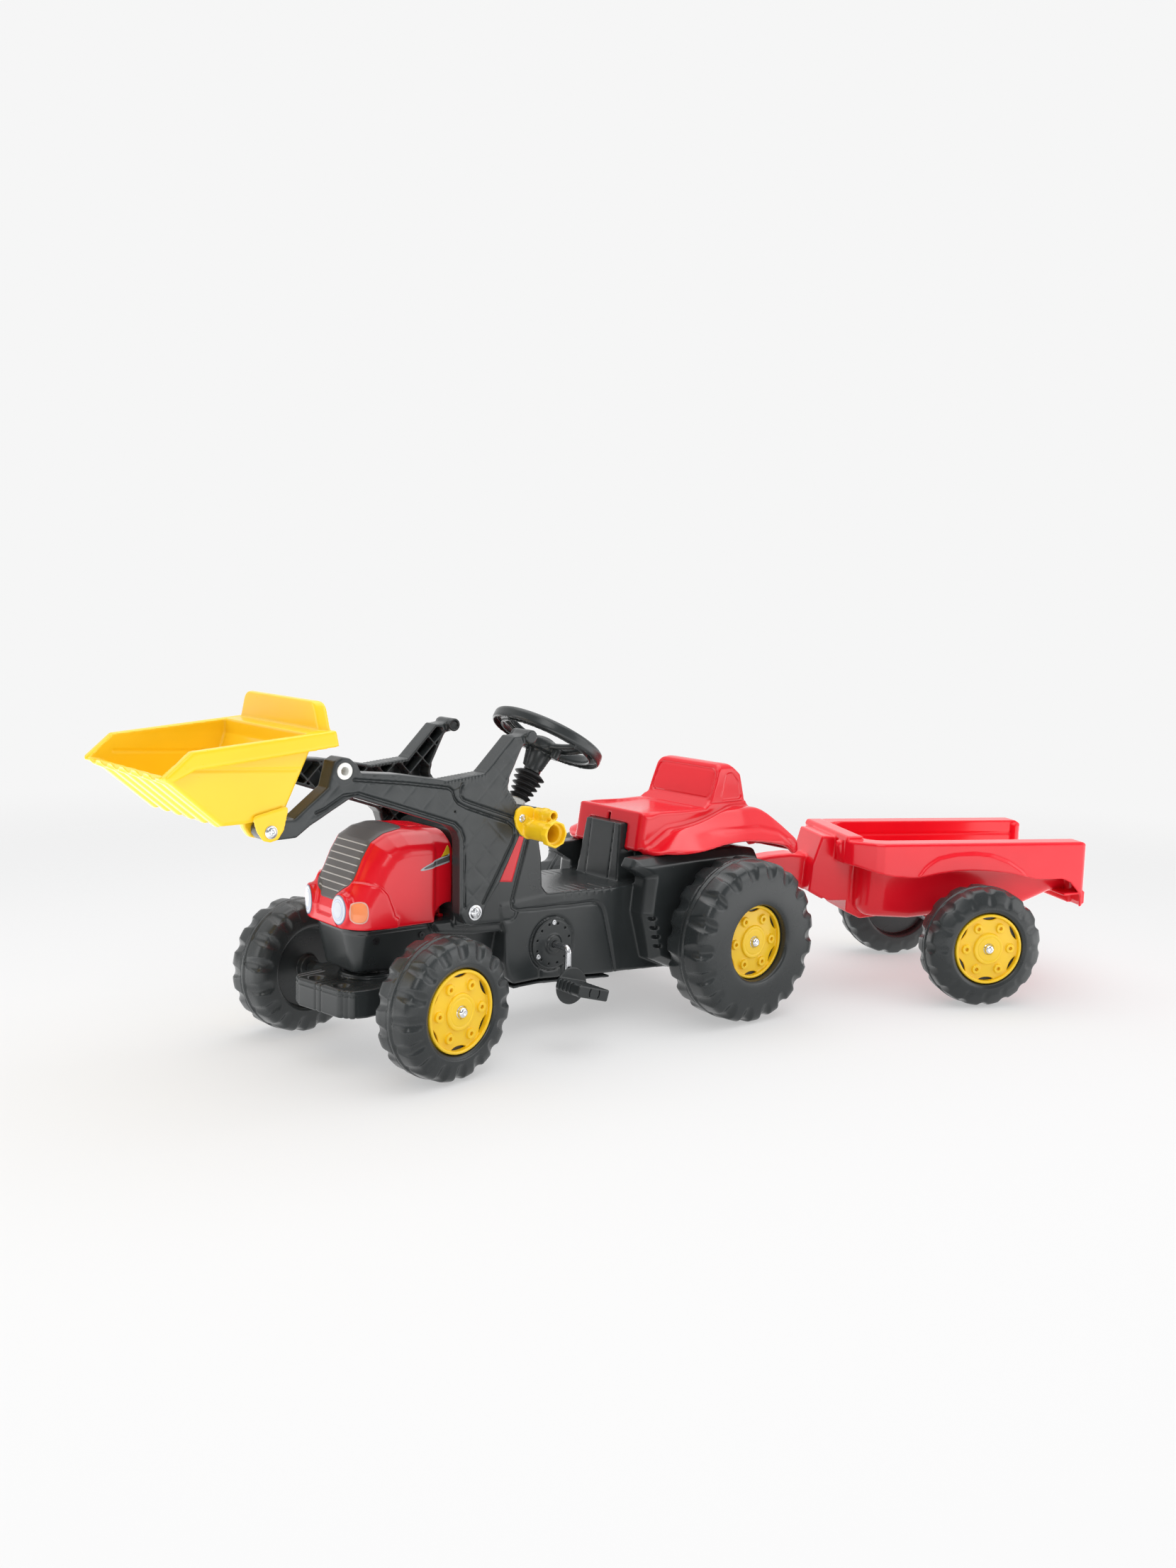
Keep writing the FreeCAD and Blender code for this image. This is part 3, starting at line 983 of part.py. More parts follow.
pocket_xy(tb, [(0.0, 0.0, NUM["pin_radius"] + 0.06)], 200.0, 250.0)
# axle blocks under the floor
ax = -NUM["trailer_axle_back"]
pad_xz(tb, [[(ax - 16, 94), (ax + 16, 94), (ax + 20, 145), (ax - 20, 145)]], -112.0, -96.0)
pad_xz(tb, [[(ax - 16, 94), (ax + 16, 94), (ax + 20, 145), (ax - 20, 145)]], 96.0, 112.0)
pocket_xz(tb, [("-" + S("trailer_axle_back"), S("front_radius"), S("rod_radius"))], -120.0, 120.0)
keep(tb, TRAILER)

TR_END = NUM["trailer_track"] + NUM["front_half"] - NUM["cap_recess_front"] + 10.0
ta = rod("trailer_axle_rod", S("rod_radius"), TR_END, S("front_radius"))
AX = Placement(Vector(ax, 0, 0), Rotation())
keep(ta, TRAILER, AX)
keep(push_caps("trailer_push_caps", TR_END + 3.3, NUM["front_radius"]), TRAILER, AX)


def spacers(label):
    solids = []
    for s in (1, -1):
        c = Part.makeCylinder(11.0, 44.8, Vector(0, s * 112.4, NUM["front_radius"]), Vector(0, s, 0))
        c = c.cut(Part.makeCylinder(NUM["wheel_bore"], 400.0, Vector(0, -200, NUM["front_radius"]), Vector(0, 1, 0)))
        solids.append(c.Solids[0])
    f = doc.addObject("Part::Feature", label)
    f.Label = label
    f.Shape = Part.makeCompound(solids)
    return f


keep(spacers("trailer_axle_spacers"), TRAILER, AX)
wheel_pair(("trailer_tyre_left", "trailer_cap_left", "trailer_tyre_right", "trailer_cap_right"), TRAILER, ax, NUM["front_radius"],
           NUM["trailer_track"], NUM["front_radius"], NUM["front_half"], NUM["cap_recess_front"], 16)

# ------------------------------------------------------------------ write
doc.recompute()
bad = []
for o in doc.Objects:
    if any(w in ("Invalid", "Error") for w in o.State):
        bad.append("%s %s" % (o.Name, o.State))
lo = [1e9] * 3
hi = [-1e9] * 3
os.makedirs("parts", exist_ok=True)
for o in PIECES:
    shp = o.Shape
    if shp.isNull() or not shp.isValid() or not shp.Solids:
        bad.append("%s has no valid solid" % o.Label)
        continue
    bb = shp.BoundBox
    for k, (a, c) in enumerate(((bb.XMin, bb.XMax), (bb.YMin, bb.YMax), (bb.ZMin, bb.ZMax))):
        lo[k] = min(lo[k], a)
        hi[k] = max(hi[k], c)
    shp.exportStep("parts/%s.step" % o.Label)
    print("%-24s solids %d volume %.1f cm3" % (o.Label, len(shp.Solids), shp.Volume / 1000.0))
print("pieces", len(PIECES), "box", [round(v, 2) for v in lo], [round(v, 2) for v in hi])
if bad:
    raise RuntimeError("; ".join(bad))
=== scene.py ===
import bpy
import json
import math
import numpy as np
from mathutils import Matrix, Vector


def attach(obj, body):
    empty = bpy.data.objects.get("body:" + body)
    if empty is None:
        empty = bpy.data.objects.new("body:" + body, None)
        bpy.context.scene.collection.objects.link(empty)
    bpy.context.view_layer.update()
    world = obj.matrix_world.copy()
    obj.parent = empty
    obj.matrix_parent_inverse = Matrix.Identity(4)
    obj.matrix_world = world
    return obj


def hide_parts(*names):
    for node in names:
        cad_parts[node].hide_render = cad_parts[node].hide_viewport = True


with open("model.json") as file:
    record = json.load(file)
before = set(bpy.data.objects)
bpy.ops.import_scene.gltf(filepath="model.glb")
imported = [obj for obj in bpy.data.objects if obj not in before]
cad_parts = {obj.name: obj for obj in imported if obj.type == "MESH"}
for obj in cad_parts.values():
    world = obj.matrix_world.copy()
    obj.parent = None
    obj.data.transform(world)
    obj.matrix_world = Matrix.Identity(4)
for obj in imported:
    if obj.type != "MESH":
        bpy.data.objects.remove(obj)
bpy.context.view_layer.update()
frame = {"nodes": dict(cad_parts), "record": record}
NODES = frame["nodes"]

# ---------------------------------------------------------------- frames, in mm
# T: origin on the ground under the rear axle, +X forward, +Y rider's left, +Z up.
OX, OY = 109.14, 101.33
WB, STEER_REST = 614.2, 8.94
HITCH, YAW = 139.5, -26.73


def tr(x, y, z):
    return Matrix.Translation((x, y, z))


def rot(deg, axis):
    return Matrix.Rotation(math.radians(deg), 4, axis)


M_T = tr(-OX, -OY, 0)
M_F = M_T @ tr(WB, 0, 0) @ rot(STEER_REST, "Z")
M_R = M_T @ tr(-HITCH, 0, 0) @ rot(YAW, "Z")
M_C = M_T @ tr(277, 0, 471) @ rot(-30, "Y")
M_S = M_C @ rot(11.62, "Z")
FLIP = rot(180, "Z")


# ---------------------------------------------------------------- distance tools
def poly_sd(px, pz, poly):
    best, inside = None, None
    n = len(poly)
    for i in range(n):
        ax, az = poly[i]
        bx, bz = poly[(i + 1) % n]
        ex, ez = bx - ax, bz - az
        wx, wz = px - ax, pz - az
        t = np.clip((wx * ex + wz * ez) / (ex * ex + ez * ez), 0.0, 1.0)
        d = (wx - ex * t) ** 2 + (wz - ez * t) ** 2
        best = d if best is None else np.minimum(best, d)
        if abs(ez) > 1e-9:
            c = ((az > pz) != (bz > pz)) & (px < ax + (pz - az) * ex / ez)
        else:
            c = np.zeros(np.broadcast(px, pz).shape, bool)
        inside = c if inside is None else inside ^ c
    d = np.sqrt(best)
    return np.where(inside, -d, d)


def inset(pts, d):
    n = len(pts)
    area = sum(pts[k][0] * pts[(k + 1) % n][1] - pts[(k + 1) % n][0] * pts[k][1] for k in range(n))
    s = 1.0 if area > 0 else -1.0
    out = []
    for k in range(n):
        p0, p1, p2 = pts[k - 1], pts[k], pts[(k + 1) % n]
        ax, ay = p1[0] - p0[0], p1[1] - p0[1]
        bx, by = p2[0] - p1[0], p2[1] - p1[1]
        la, lb = math.hypot(ax, ay), math.hypot(bx, by)
        nax, nay = -ay / la * s, ax / la * s
        nbx, nby = -by / lb * s, bx / lb * s
        dot = max(1.0 + nax * nbx + nay * nby, 0.5)
        out.append((p1[0] + d * (nax + nbx) / dot, p1[1] + d * (nay + nby) / dot))
    return out


def rpoly(px, pz, poly, rc):
    """Outline with its outer corners rounded to rc."""
    return poly_sd(px, pz, inset(poly, rc)) - rc


def line_d(px, pz, pts):
    best = None
    for (ax, az), (bx, bz) in zip(pts[:-1], pts[1:]):
        ex, ez = bx - ax, bz - az
        wx, wz = px - ax, pz - az
        t = np.clip((wx * ex + wz * ez) / (ex * ex + ez * ez), 0.0, 1.0)
        d = (wx - ex * t) ** 2 + (wz - ez * t) ** 2
        best = d if best is None else np.minimum(best, d)
    return np.sqrt(best)


def ss(a, b, x):
    t = np.clip((x - a) / (b - a), 0.0, 1.0)
    return t * t * (3 - 2 * t)


def groove(d, w, depth):
    """Rounded channel: depth at d = 0, nothing past w."""
    return depth * (0.5 + 0.5 * np.cos(np.pi * np.clip(np.abs(d) / w, 0, 1)))


def channel(d, w, depth):
    """Channel with a flat bottom and steep sides, w wide each way."""
    return depth * ss(w, 0.4 * w, np.abs(d))


def ext(d2, dy, r):
    """Outline d2 carried along the other direction dy, its edges rounded to r."""
    a, b = d2 + r, dy + r
    return np.minimum(np.maximum(a, b), 0) + np.hypot(np.maximum(a, 0), np.maximum(b, 0)) - r


def smin(a, b, k):
    h = np.clip(0.5 + 0.5 * (b - a) / k, 0, 1)
    return b * (1 - h) + a * h - k * h * (1 - h)


def smax(a, b, k):
    return -smin(-a, -b, k)


def cut(a, b, k=1.5):
    """a with b taken out, the edge softened by k."""
    return smax(a, -b, k)


def rbox(X, Y, Z, c, half, r):
    qx, qy, qz = np.abs(X - c[0]) - half[0] + r, np.abs(Y - c[1]) - half[1] + r, np.abs(Z - c[2]) - half[2] + r
    return np.sqrt(np.maximum(qx, 0) ** 2 + np.maximum(qy, 0) ** 2 + np.maximum(qz, 0) ** 2) + np.minimum(np.maximum(qx, np.maximum(qy, qz)), 0) - r


def span(v, a, b):
    return np.abs(v - (a + b) / 2.0) - (b - a) / 2.0


def lookup(grid, u0, v0, step, U, V):
    """Bilinear value of a distance table at U, V."""
    nu, nv = grid.shape
    u = np.clip((U - u0) / step, 0, nu - 1.001)
    v = np.clip((V - v0) / step, 0, nv - 1.001)
    u, v = np.broadcast_arrays(u, v)
    i, j = u.astype(np.int32), v.astype(np.int32)
    fu, fv = u - i, v - j
    return (grid[i, j] * (1 - fu) * (1 - fv) + grid[i + 1, j] * fu * (1 - fv) + grid[i, j + 1] * (1 - fu) * fv + grid[i + 1, j + 1] * fu * fv)


def curve_pts(ctrl, per=6):
    """Points on a smooth curve through the control points."""
    out = []
    n = len(ctrl)
    for i in range(n - 1):
        p0, p1, p2, p3 = ctrl[max(i - 1, 0)], ctrl[i], ctrl[i + 1], ctrl[min(i + 2, n - 1)]
        for k in range(per):
            t = k / per
            out.append(tuple(0.5 * (2 * p1[c] + (p2[c] - p0[c]) * t + (2 * p0[c] - 5 * p1[c] + 4 * p2[c] - p3[c]) * t * t
                                    + (3 * p1[c] - p0[c] - 3 * p2[c] + p3[c]) * t ** 3) for c in range(len(p1))))
    out.append(tuple(ctrl[-1]))
    return out


CORNERS = [(a, b, c) for a in (0, 1) for b in (0, 1) for c in (0, 1)]
EDGES = [(p, q) for p in CORNERS for q in CORNERS if sum(q) - sum(p) == 1 and all(y >= x for x, y in zip(p, q))]


def nets(f, lo, hi, h, sweep=None):
    """Surface of f = 0 as quads. sweep turns the grid of distances into another before meshing."""
    n = [int(math.ceil((b - a) / h)) + 1 for a, b in zip(lo, hi)]
    ax = [lo[k] + h * np.arange(n[k]) for k in range(3)]
    D = f(ax[0][:, None, None], ax[1][None, :, None], ax[2][None, None, :])
    D = np.array(np.broadcast_to(D, n), dtype=np.float32)
    if sweep is not None:
        D = sweep(D, ax)
    for k in range(3):
        for e in (0, -1):
            s = [slice(None)] * 3
            s[k] = e
            D[tuple(s)] = np.maximum(D[tuple(s)], 0.3 * h)
    S = D < 0
    count = np.zeros([v - 1 for v in n], np.uint8)
    for a, b, c in CORNERS:
        count += S[a:n[0] - 1 + a, b:n[1] - 1 + b, c:n[2] - 1 + c]
    mixed = (count > 0) & (count < 8)
    I, J, K = np.nonzero(mixed)
    index = np.full(mixed.shape, -1, np.int32)
    index[I, J, K] = np.arange(len(I))
    acc = np.zeros((len(I), 3))
    num = np.zeros(len(I))
    for p, q in EDGES:
        da = D[I + p[0], J + p[1], K + p[2]].astype(float)
        db = D[I + q[0], J + q[1], K + q[2]].astype(float)
        m = (da < 0) != (db < 0)
        t = np.where(m, da / np.where(m, da - db, 1.0), 0.0)
        for c in range(3):
            acc[:, c] += np.where(m, p[c] + t * (q[c] - p[c]), 0.0)
        num += m
    pos = acc / num[:, None] + np.stack([I, J, K], 1)
    pos = pos * h + np.array(lo)
    quads = []
    for k in range(3):
        u, v = (k + 1) % 3, (k + 2) % 3
        a = [slice(None)] * 3
        b = [slice(None)] * 3
        a[k], b[k] = slice(0, n[k] - 1), slice(1, n[k])
        sa, sb = S[tuple(a)], S[tuple(b)]
        for first, flip in ((sa & ~sb, False), (~sa & sb, True)):
            E = np.stack(np.nonzero(first), 1)
            if not len(E):
                continue
            E = E[(E[:, u] > 0) & (E[:, v] > 0) & (E[:, u] < n[u] - 1) & (E[:, v] < n[v] - 1)]
            ring = []
            for du, dv in ((-1, -1), (0, -1), (0, 0), (-1, 0)):
                c = E.copy()
                c[:, u] += du
                c[:, v] += dv
                ring.append(index[c[:, 0], c[:, 1], c[:, 2]])
            q = np.stack(ring, 1)
            quads.append(q[:, ::-1] if flip else q)
    return pos, np.concatenate(quads)


def relax(pos, quads, times, amount=0.5):
    """Evens out the grid's steps a little."""
    n = len(pos)
    a = np.concatenate([quads[:, i] for i in range(4)])
    b = np.concatenate([quads[:, (i + 1) % 4] for i in range(4)])
    deg = np.bincount(a, minlength=n) + np.bincount(b, minlength=n)
    for _ in range(times):
        for f in (amount, -amount * 1.03):
            mean = np.stack([np.bincount(a, pos[b, c], n) + np.bincount(b, pos[a, c], n) for c in range(3)], 1) / deg[:, None]
            pos = pos + f * (mean - pos)
    return pos


# ---------------------------------------------------------------- meshes
def mesh_of(name, pos_mm, faces, M=M_T):
    """Mesh in metres in the shared frame; faces is an array of quads or a list."""
    A = np.array(M, float)
    co = (np.asarray(pos_mm, float) @ A[:3, :3].T + A[:3, 3]) * 0.001
    me = bpy.data.meshes.new(name)
    if isinstance(faces, np.ndarray):
        k = faces.shape[1]
        me.vertices.add(len(co))
        me.vertices.foreach_set("co", co.astype(np.float32).ravel())
        me.loops.add(faces.size)
        me.loops.foreach_set("vertex_index", faces.astype(np.int32).ravel())
        me.polygons.add(len(faces))
        me.polygons.foreach_set("loop_start", np.arange(0, faces.size, k, dtype=np.int32))
        me.polygons.foreach_set("loop_total", np.full(len(faces), k, np.int32))
    else:
        me.from_pydata([tuple(c) for c in co], [], [tuple(int(v) for v in f) for f in faces])
    me.update(calc_edges=True)
    me.validate()
    me.polygons.foreach_set("use_smooth", np.ones(len(me.polygons), bool))
    return me


def put(name, me, material, body, nodes=()):
    o = bpy.data.objects.new(name, me)
    bpy.context.scene.collection.objects.link(o)
    if material is not None:
        me.materials.clear()
        me.materials.append(material)
    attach(o, body)
    if nodes:
        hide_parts(*nodes)
    return o


def solid(name, f, lo, hi, h, material, body, nodes=(), M=M_T, sweep=None, smooth=1):
    pos, quads = nets(f, lo, hi, h, sweep)
    if smooth:
        pos = relax(pos, quads, smooth)
    return put(name, mesh_of(name, pos, quads, M), material, body, nodes)


def lathe(profile, n, closed=True):
    """Ring mesh round the local Z axis: profile of (r, z), r > 0, closed as a loop."""
    P = np.array(profile, float)
    m = len(P)
    a = np.linspace(0, 2 * np.pi, n, endpoint=False)
    pos = np.stack([P[None, :, 0] * np.cos(a)[:, None], P[None, :, 0] * np.sin(a)[:, None], np.broadcast_to(P[None, :, 1], (n, m))], 2).reshape(-1, 3)
    i = np.arange(n)[:, None]
    j = np.arange(m if closed else m - 1)[None, :]
    i2, j2 = (i + 1) % n, (j + 1) % m
    quads = np.stack([i * m + j, i2 * m + j, i2 * m + j2, i * m + j2], -1).reshape(-1, 4)
    return pos, quads


def project(f, P, off, times=5):
    """Points moved onto the surface f = off."""
    P = np.array(P, float)
    e = 0.4
    for _ in range(times):
        d = f(P[:, 0], P[:, 1], P[:, 2])
        g = np.stack([f(*(P + e * np.eye(3)[k]).T) - f(*(P - e * np.eye(3)[k]).T) for k in range(3)], 1) / (2 * e)
        g /= np.maximum((g * g).sum(1, keepdims=True), 0.2)
        P = P - (d - off)[:, None] * g
    return P


def patch(name, f, grid, off, material, body, M=M_T, thick=0.35):
    """Thin printed film on a surface: grid of (nu, nv, 3) points near it."""
    nu, nv = grid.shape[:2]
    P = grid.reshape(-1, 3)
    top = project(f, P, off)
    low = project(f, P, off - thick)
    pos = np.concatenate([top, low])
    idx = np.arange(nu * nv).reshape(nu, nv)
    a, b, c, d = idx[:-1, :-1].ravel(), idx[1:, :-1].ravel(), idx[1:, 1:].ravel(), idx[:-1, 1:].ravel()
    up = np.stack([a, b, c, d], 1)
    n = nu * nv
    quads = [up, up[:, ::-1] + n]
    ring = np.concatenate([idx[:, 0], idx[-1, 1:], idx[-2::-1, -1], idx[0, -2:0:-1]])
    nxt = np.roll(ring, -1)
    quads.append(np.stack([nxt, ring, ring + n, nxt + n], 1))
    quads = np.concatenate(quads)
    t = pos[up[:, :]]
    nrm = np.cross(t[:, 2] - t[:, 0], t[:, 3] - t[:, 1]).sum(0)
    g = (top - low).sum(0)
    if nrm @ g < 0:
        quads = quads[:, ::-1]
    return put(name, mesh_of(name, pos, quads, M), material, body, ())


def oval(cu, cv, ru, rv, n=6, m=40, power=2.0, side=None):
    """Square grid mapped onto a rounded outline, as (u, v) points."""
    t = np.linspace(-1, 1, m)
    a, b = np.meshgrid(t, t, indexing="ij")
    r = np.maximum(np.abs(a), np.abs(b))
    ang = np.arctan2(b, a)
    ca, sa = np.abs(np.cos(ang)), np.abs(np.sin(ang))
    k = r / np.maximum((ca ** power + sa ** power) ** (1.0 / power), 1e-9)
    return cu + ru * k * np.cos(ang), cv + rv * k * np.sin(ang)


# ---------------------------------------------------------------- materials
def material(name, color, rough, metallic=0.0, grain=900.0, bump=0.06, vary=0.10, rough_vary=0.10, coat=0.0, ior=1.46,
             scratch=0.0, dust=0.0, waves=0.0):
    m = bpy.data.materials.new(name)
    m.use_nodes = True
    nt = m.node_tree
    for n in list(nt.nodes):
        nt.nodes.remove(n)
    out = nt.nodes.new("ShaderNodeOutputMaterial")
    b = nt.nodes.new("ShaderNodeBsdfPrincipled")
    nt.links.new(b.outputs[0], out.inputs[0])
    co = nt.nodes.new("ShaderNodeTexCoord")
    # broad uneven tone of a moulding
    broad = nt.nodes.new("ShaderNodeTexNoise")
    broad.inputs["Scale"].default_value = 7.0
    broad.inputs["Detail"].default_value = 3.0
    nt.links.new(co.outputs["Object"], broad.inputs["Vector"])
    ramp = nt.nodes.new("ShaderNodeValToRGB")
    dark = [c * (1.0 - vary) for c in color]
    pale = [min(1.0, c * (1.0 + vary * 0.7) + 0.004) for c in color]
    ramp.color_ramp.elements[0].position, ramp.color_ramp.elements[1].position = 0.3, 0.72
    ramp.color_ramp.elements[0].color = (*dark, 1)
    ramp.color_ramp.elements[1].color = (*pale, 1)
    nt.links.new(broad.outputs["Fac"], ramp.inputs["Fac"])
    last = ramp.outputs["Color"]
    # fine specks, as of dust and mould marks
    fine = nt.nodes.new("ShaderNodeTexNoise")
    fine.inputs["Scale"].default_value = grain
    fine.inputs["Detail"].default_value = 2.0
    nt.links.new(co.outputs["Object"], fine.inputs["Vector"])
    if dust > 0:
        geo = nt.nodes.new("ShaderNodeNewGeometry")
        sep = nt.nodes.new("ShaderNodeSeparateXYZ")
        nt.links.new(geo.outputs["Normal"], sep.inputs[0])
        spot = nt.nodes.new("ShaderNodeTexNoise")
        spot.inputs["Scale"].default_value = 60.0
        spot.inputs["Detail"].default_value = 4.0
        nt.links.new(co.outputs["Object"], spot.inputs["Vector"])
        mul = nt.nodes.new("ShaderNodeMath")
        mul.operation = "MULTIPLY"
        nt.links.new(sep.outputs["Z"], mul.inputs[0])
        nt.links.new(spot.outputs["Fac"], mul.inputs[1])
        lim = nt.nodes.new("ShaderNodeMapRange")
        lim.inputs["From Min"].default_value = 0.30
        lim.inputs["From Max"].default_value = 0.85
        lim.inputs["To Max"].default_value = dust
        nt.links.new(mul.outputs[0], lim.inputs["Value"])
        mix = nt.nodes.new("ShaderNodeMix")
        mix.data_type = "RGBA"
        nt.links.new(lim.outputs[0], mix.inputs["Factor"])
        nt.links.new(last, mix.inputs["A"])
        mix.inputs["B"].default_value = (0.30, 0.29, 0.27, 1)
        last = mix.outputs["Result"]
    nt.links.new(last, b.inputs["Base Color"])
    # roughness: broad gloss patches and fine grain together
    smear = nt.nodes.new("ShaderNodeTexNoise")
    smear.inputs["Scale"].default_value = 22.0
    smear.inputs["Detail"].default_value = 5.0
    nt.links.new(co.outputs["Object"], smear.inputs["Vector"])
    mr = nt.nodes.new("ShaderNodeMapRange")
    mr.inputs["From Min"].default_value = 0.3
    mr.inputs["From Max"].default_value = 0.7
    mr.inputs["To Min"].default_value = max(0.03, rough * (1 - rough_vary))
    mr.inputs["To Max"].default_value = min(1.0, rough * (1 + rough_vary))
    nt.links.new(smear.outputs["Fac"], mr.inputs["Value"])
    nt.links.new(mr.outputs[0], b.inputs["Roughness"])
    bp = nt.nodes.new("ShaderNodeBump")
    bp.inputs["Strength"].default_value = bump
    bp.inputs["Distance"].default_value = 0.0004
    height = fine.outputs["Fac"]
    if scratch > 0 or waves > 0:
        st = nt.nodes.new("ShaderNodeMapping")
        st.inputs["Scale"].default_value = (3.0, 60.0, 3.0) if scratch > 0 else (1.0, 1.0, 1.0)
        nt.links.new(co.outputs["Object"], st.inputs["Vector"])
        sn = nt.nodes.new("ShaderNodeTexNoise")
        sn.inputs["Scale"].default_value = 40.0 if scratch > 0 else 18.0
        sn.inputs["Detail"].default_value = 4.0
        nt.links.new(st.outputs[0], sn.inputs["Vector"])
        ad = nt.nodes.new("ShaderNodeMath")
        ad.operation = "MULTIPLY_ADD"
        nt.links.new(sn.outputs["Fac"], ad.inputs[0])
        ad.inputs[1].default_value = max(scratch, waves)
        nt.links.new(height, ad.inputs[2])
        height = ad.outputs[0]
    nt.links.new(height, bp.inputs["Height"])
    nt.links.new(bp.outputs[0], b.inputs["Normal"])
    b.inputs["Metallic"].default_value = metallic
    b.inputs["IOR"].default_value = ior
    if coat > 0:
        b.inputs["Coat Weight"].default_value = coat
        b.inputs["Coat Roughness"].default_value = 0.08
    return m


RED = material("red_plastic", (0.70, 0.004, 0.014), 0.20, grain=1400, bump=0.035, vary=0.05, waves=0.5, coat=0.15, ior=1.45)
# painted light: the trailer is the same red plastic as RED, its base colour raised from 0.70 to 0.84 to stand in for
# brighter light on the trailer
TUB_RED_PAINTED_LIGHT = material("red_plastic_trailer_painted_light", (0.84, 0.005, 0.018), 0.22, grain=1400, bump=0.035, vary=0.05, waves=0.5, coat=0.15, ior=1.45)
YELLOW = material("yellow_plastic", (0.90, 0.57, 0.010), 0.30, grain=1300, bump=0.05, vary=0.04, waves=0.4, coat=0.15)
BLACK = material("black_plastic", (0.026, 0.030, 0.031), 0.25, grain=1500, bump=0.16, vary=0.16, waves=0.6, dust=0.05)
TYRE = material("wheel_black", (0.025, 0.029, 0.030), 0.27, grain=1100, bump=0.20, vary=0.18, dust=0.06)
DARK = material("dark_trim", (0.016, 0.017, 0.018), 0.34, grain=1500, bump=0.14, vary=0.15)
RUBBER = material("black_rubber", (0.014, 0.014, 0.015), 0.55, grain=1500, bump=0.30, vary=0.2)
WHITE = material("white_plastic", (0.78, 0.78, 0.75), 0.36, grain=1500, bump=0.08, vary=0.05)
STEEL = material("zinc_steel", (0.66, 0.67, 0.69), 0.26, metallic=1.0, grain=2200, bump=0.10, vary=0.10, scratch=0.6)
CHROME = material("bright_cap", (0.80, 0.80, 0.82), 0.13, metallic=1.0, grain=2600, bump=0.05, vary=0.05)
DARK_STEEL = material("dark_steel", (0.05, 0.05, 0.052), 0.35, metallic=0.8, grain=2200, bump=0.10, vary=0.15)
GRILLE = material("grille_film", (0.095, 0.090, 0.090), 0.30, grain=2500, bump=0.06, vary=0.25)
LINES = material("grille_lines", (0.42, 0.41, 0.40), 0.35, grain=2500, bump=0.06, vary=0.25)
SILVER = material("silver_film", (0.46, 0.47, 0.49), 0.30, grain=2500, bump=0.05, vary=0.2)
LAMP_RIM = material("lamp_rim_film", (0.20, 0.24, 0.36), 0.28, grain=2500, bump=0.05, vary=0.2)
LAMP = material("lamp_film", (0.60, 0.64, 0.71), 0.22, grain=2500, bump=0.04, vary=0.12)
LAMP_CORE = material("lamp_core_film", (0.55, 0.61, 0.74), 0.22, grain=2500, bump=0.04, vary=0.3)
AMBER = material("indicator_film", (0.90, 0.27, 0.10), 0.26, grain=2500, bump=0.04, vary=0.22)
AMBER_RIM = material("indicator_rim_film", (0.72, 0.42, 0.36), 0.26, grain=2500, bump=0.04, vary=0.1)
YFILM = material("yellow_film", (0.72, 0.44, 0.02), 0.30, grain=2500, bump=0.04, vary=0.15)
RFILM = material("red_film", (0.72, 0.035, 0.045), 0.34, grain=2500, bump=0.05, vary=0.06)


# ---------------------------------------------------------------- wheels
def tyre_mesh(name, R, half, rec, lugs, soft=0.0):
    y1 = half - rec
    Rc = R - 1.0
    side = [(63.5, y1 + 2.0), (63.6, half - 9.0), (65.2, half - 3.6), (70.0, half - 0.9), (0.62 * R, half - 0.1), (0.76 * R, half - 0.5 - 0.3 * soft),
            (R - 17.0, half - 1.8 - soft), (R - 8.0, half - 5.2 - 1.45 * soft), (R - 3.4, half - 10.5 - 0.9 * soft), (R - 1.7, half - 17.0 - 0.4 * soft), (Rc - 0.2, 14.0), (Rc, 4.0)]
    out = curve_pts(side, 5)
    back = [(r, -y) for r, y in reversed(out) if True]
    back = [(r, max(y, -half + 1.0)) for r, y in back]
    prof = out + back + [(63.5, -y1 + 4.0), (20.0, -y1 + 4.0), (18.0, -half + 8.0), (6.3, -half + 6.0), (6.3, y1), (60.0, y1)]
    step = 0.5
    us, vs = np.arange(0, R + 12, step), np.arange(-half - 8, half + 8, step)
    table = poly_sd(us[:, None], vs[None, :], prof)
    pitch = 2 * math.pi / lugs
    rad = 10.5 if R < 120 else 12.0
    path = curve_pts([(R + rad - 2.2, 6.0), (R + 4.0, half - 14.0), (R - 3.5, half - 0.5), (R - 23.0, half + rad - 3.2)], 4)

    def scoop(r, ang, y, shift):
        a = (ang / pitch + shift) % 1.0 - 0.5
        wt = R * pitch * 0.30
        k = np.sqrt((r * a * pitch / wt) ** 2 + (line_d(r, y, path) / rad) ** 2)
        return (k - 1.0) * rad

    def f(X, Y, Z):
        r = np.hypot(X, Z)
        ang = np.arctan2(Z, X)
        d = lookup(table, 0.0, -half - 8, step, r, Y)
        d = cut(d, scoop(r, ang, Y, 0.5), 1.2)
        d = cut(d, scoop(r, ang, -Y, 0.0), 1.2)
        rib = ext(r - R, np.abs(Y) - 2.6, 1.2)
        rib = np.maximum(rib, R - 12 - r)
        d = np.minimum(d, rib)
        return d + groove(np.abs(Y) - 5.0, 2.0, 1.1) * (r > R - 14)
    h = 1.7 if R > 120 else 1.45
    pos, quads = nets(f, (-R - 4, -half - 4, -R - 4), (R + 4, half + 4, R + 4), h)
    pos = relax(pos, quads, 1)
    return pos, quads


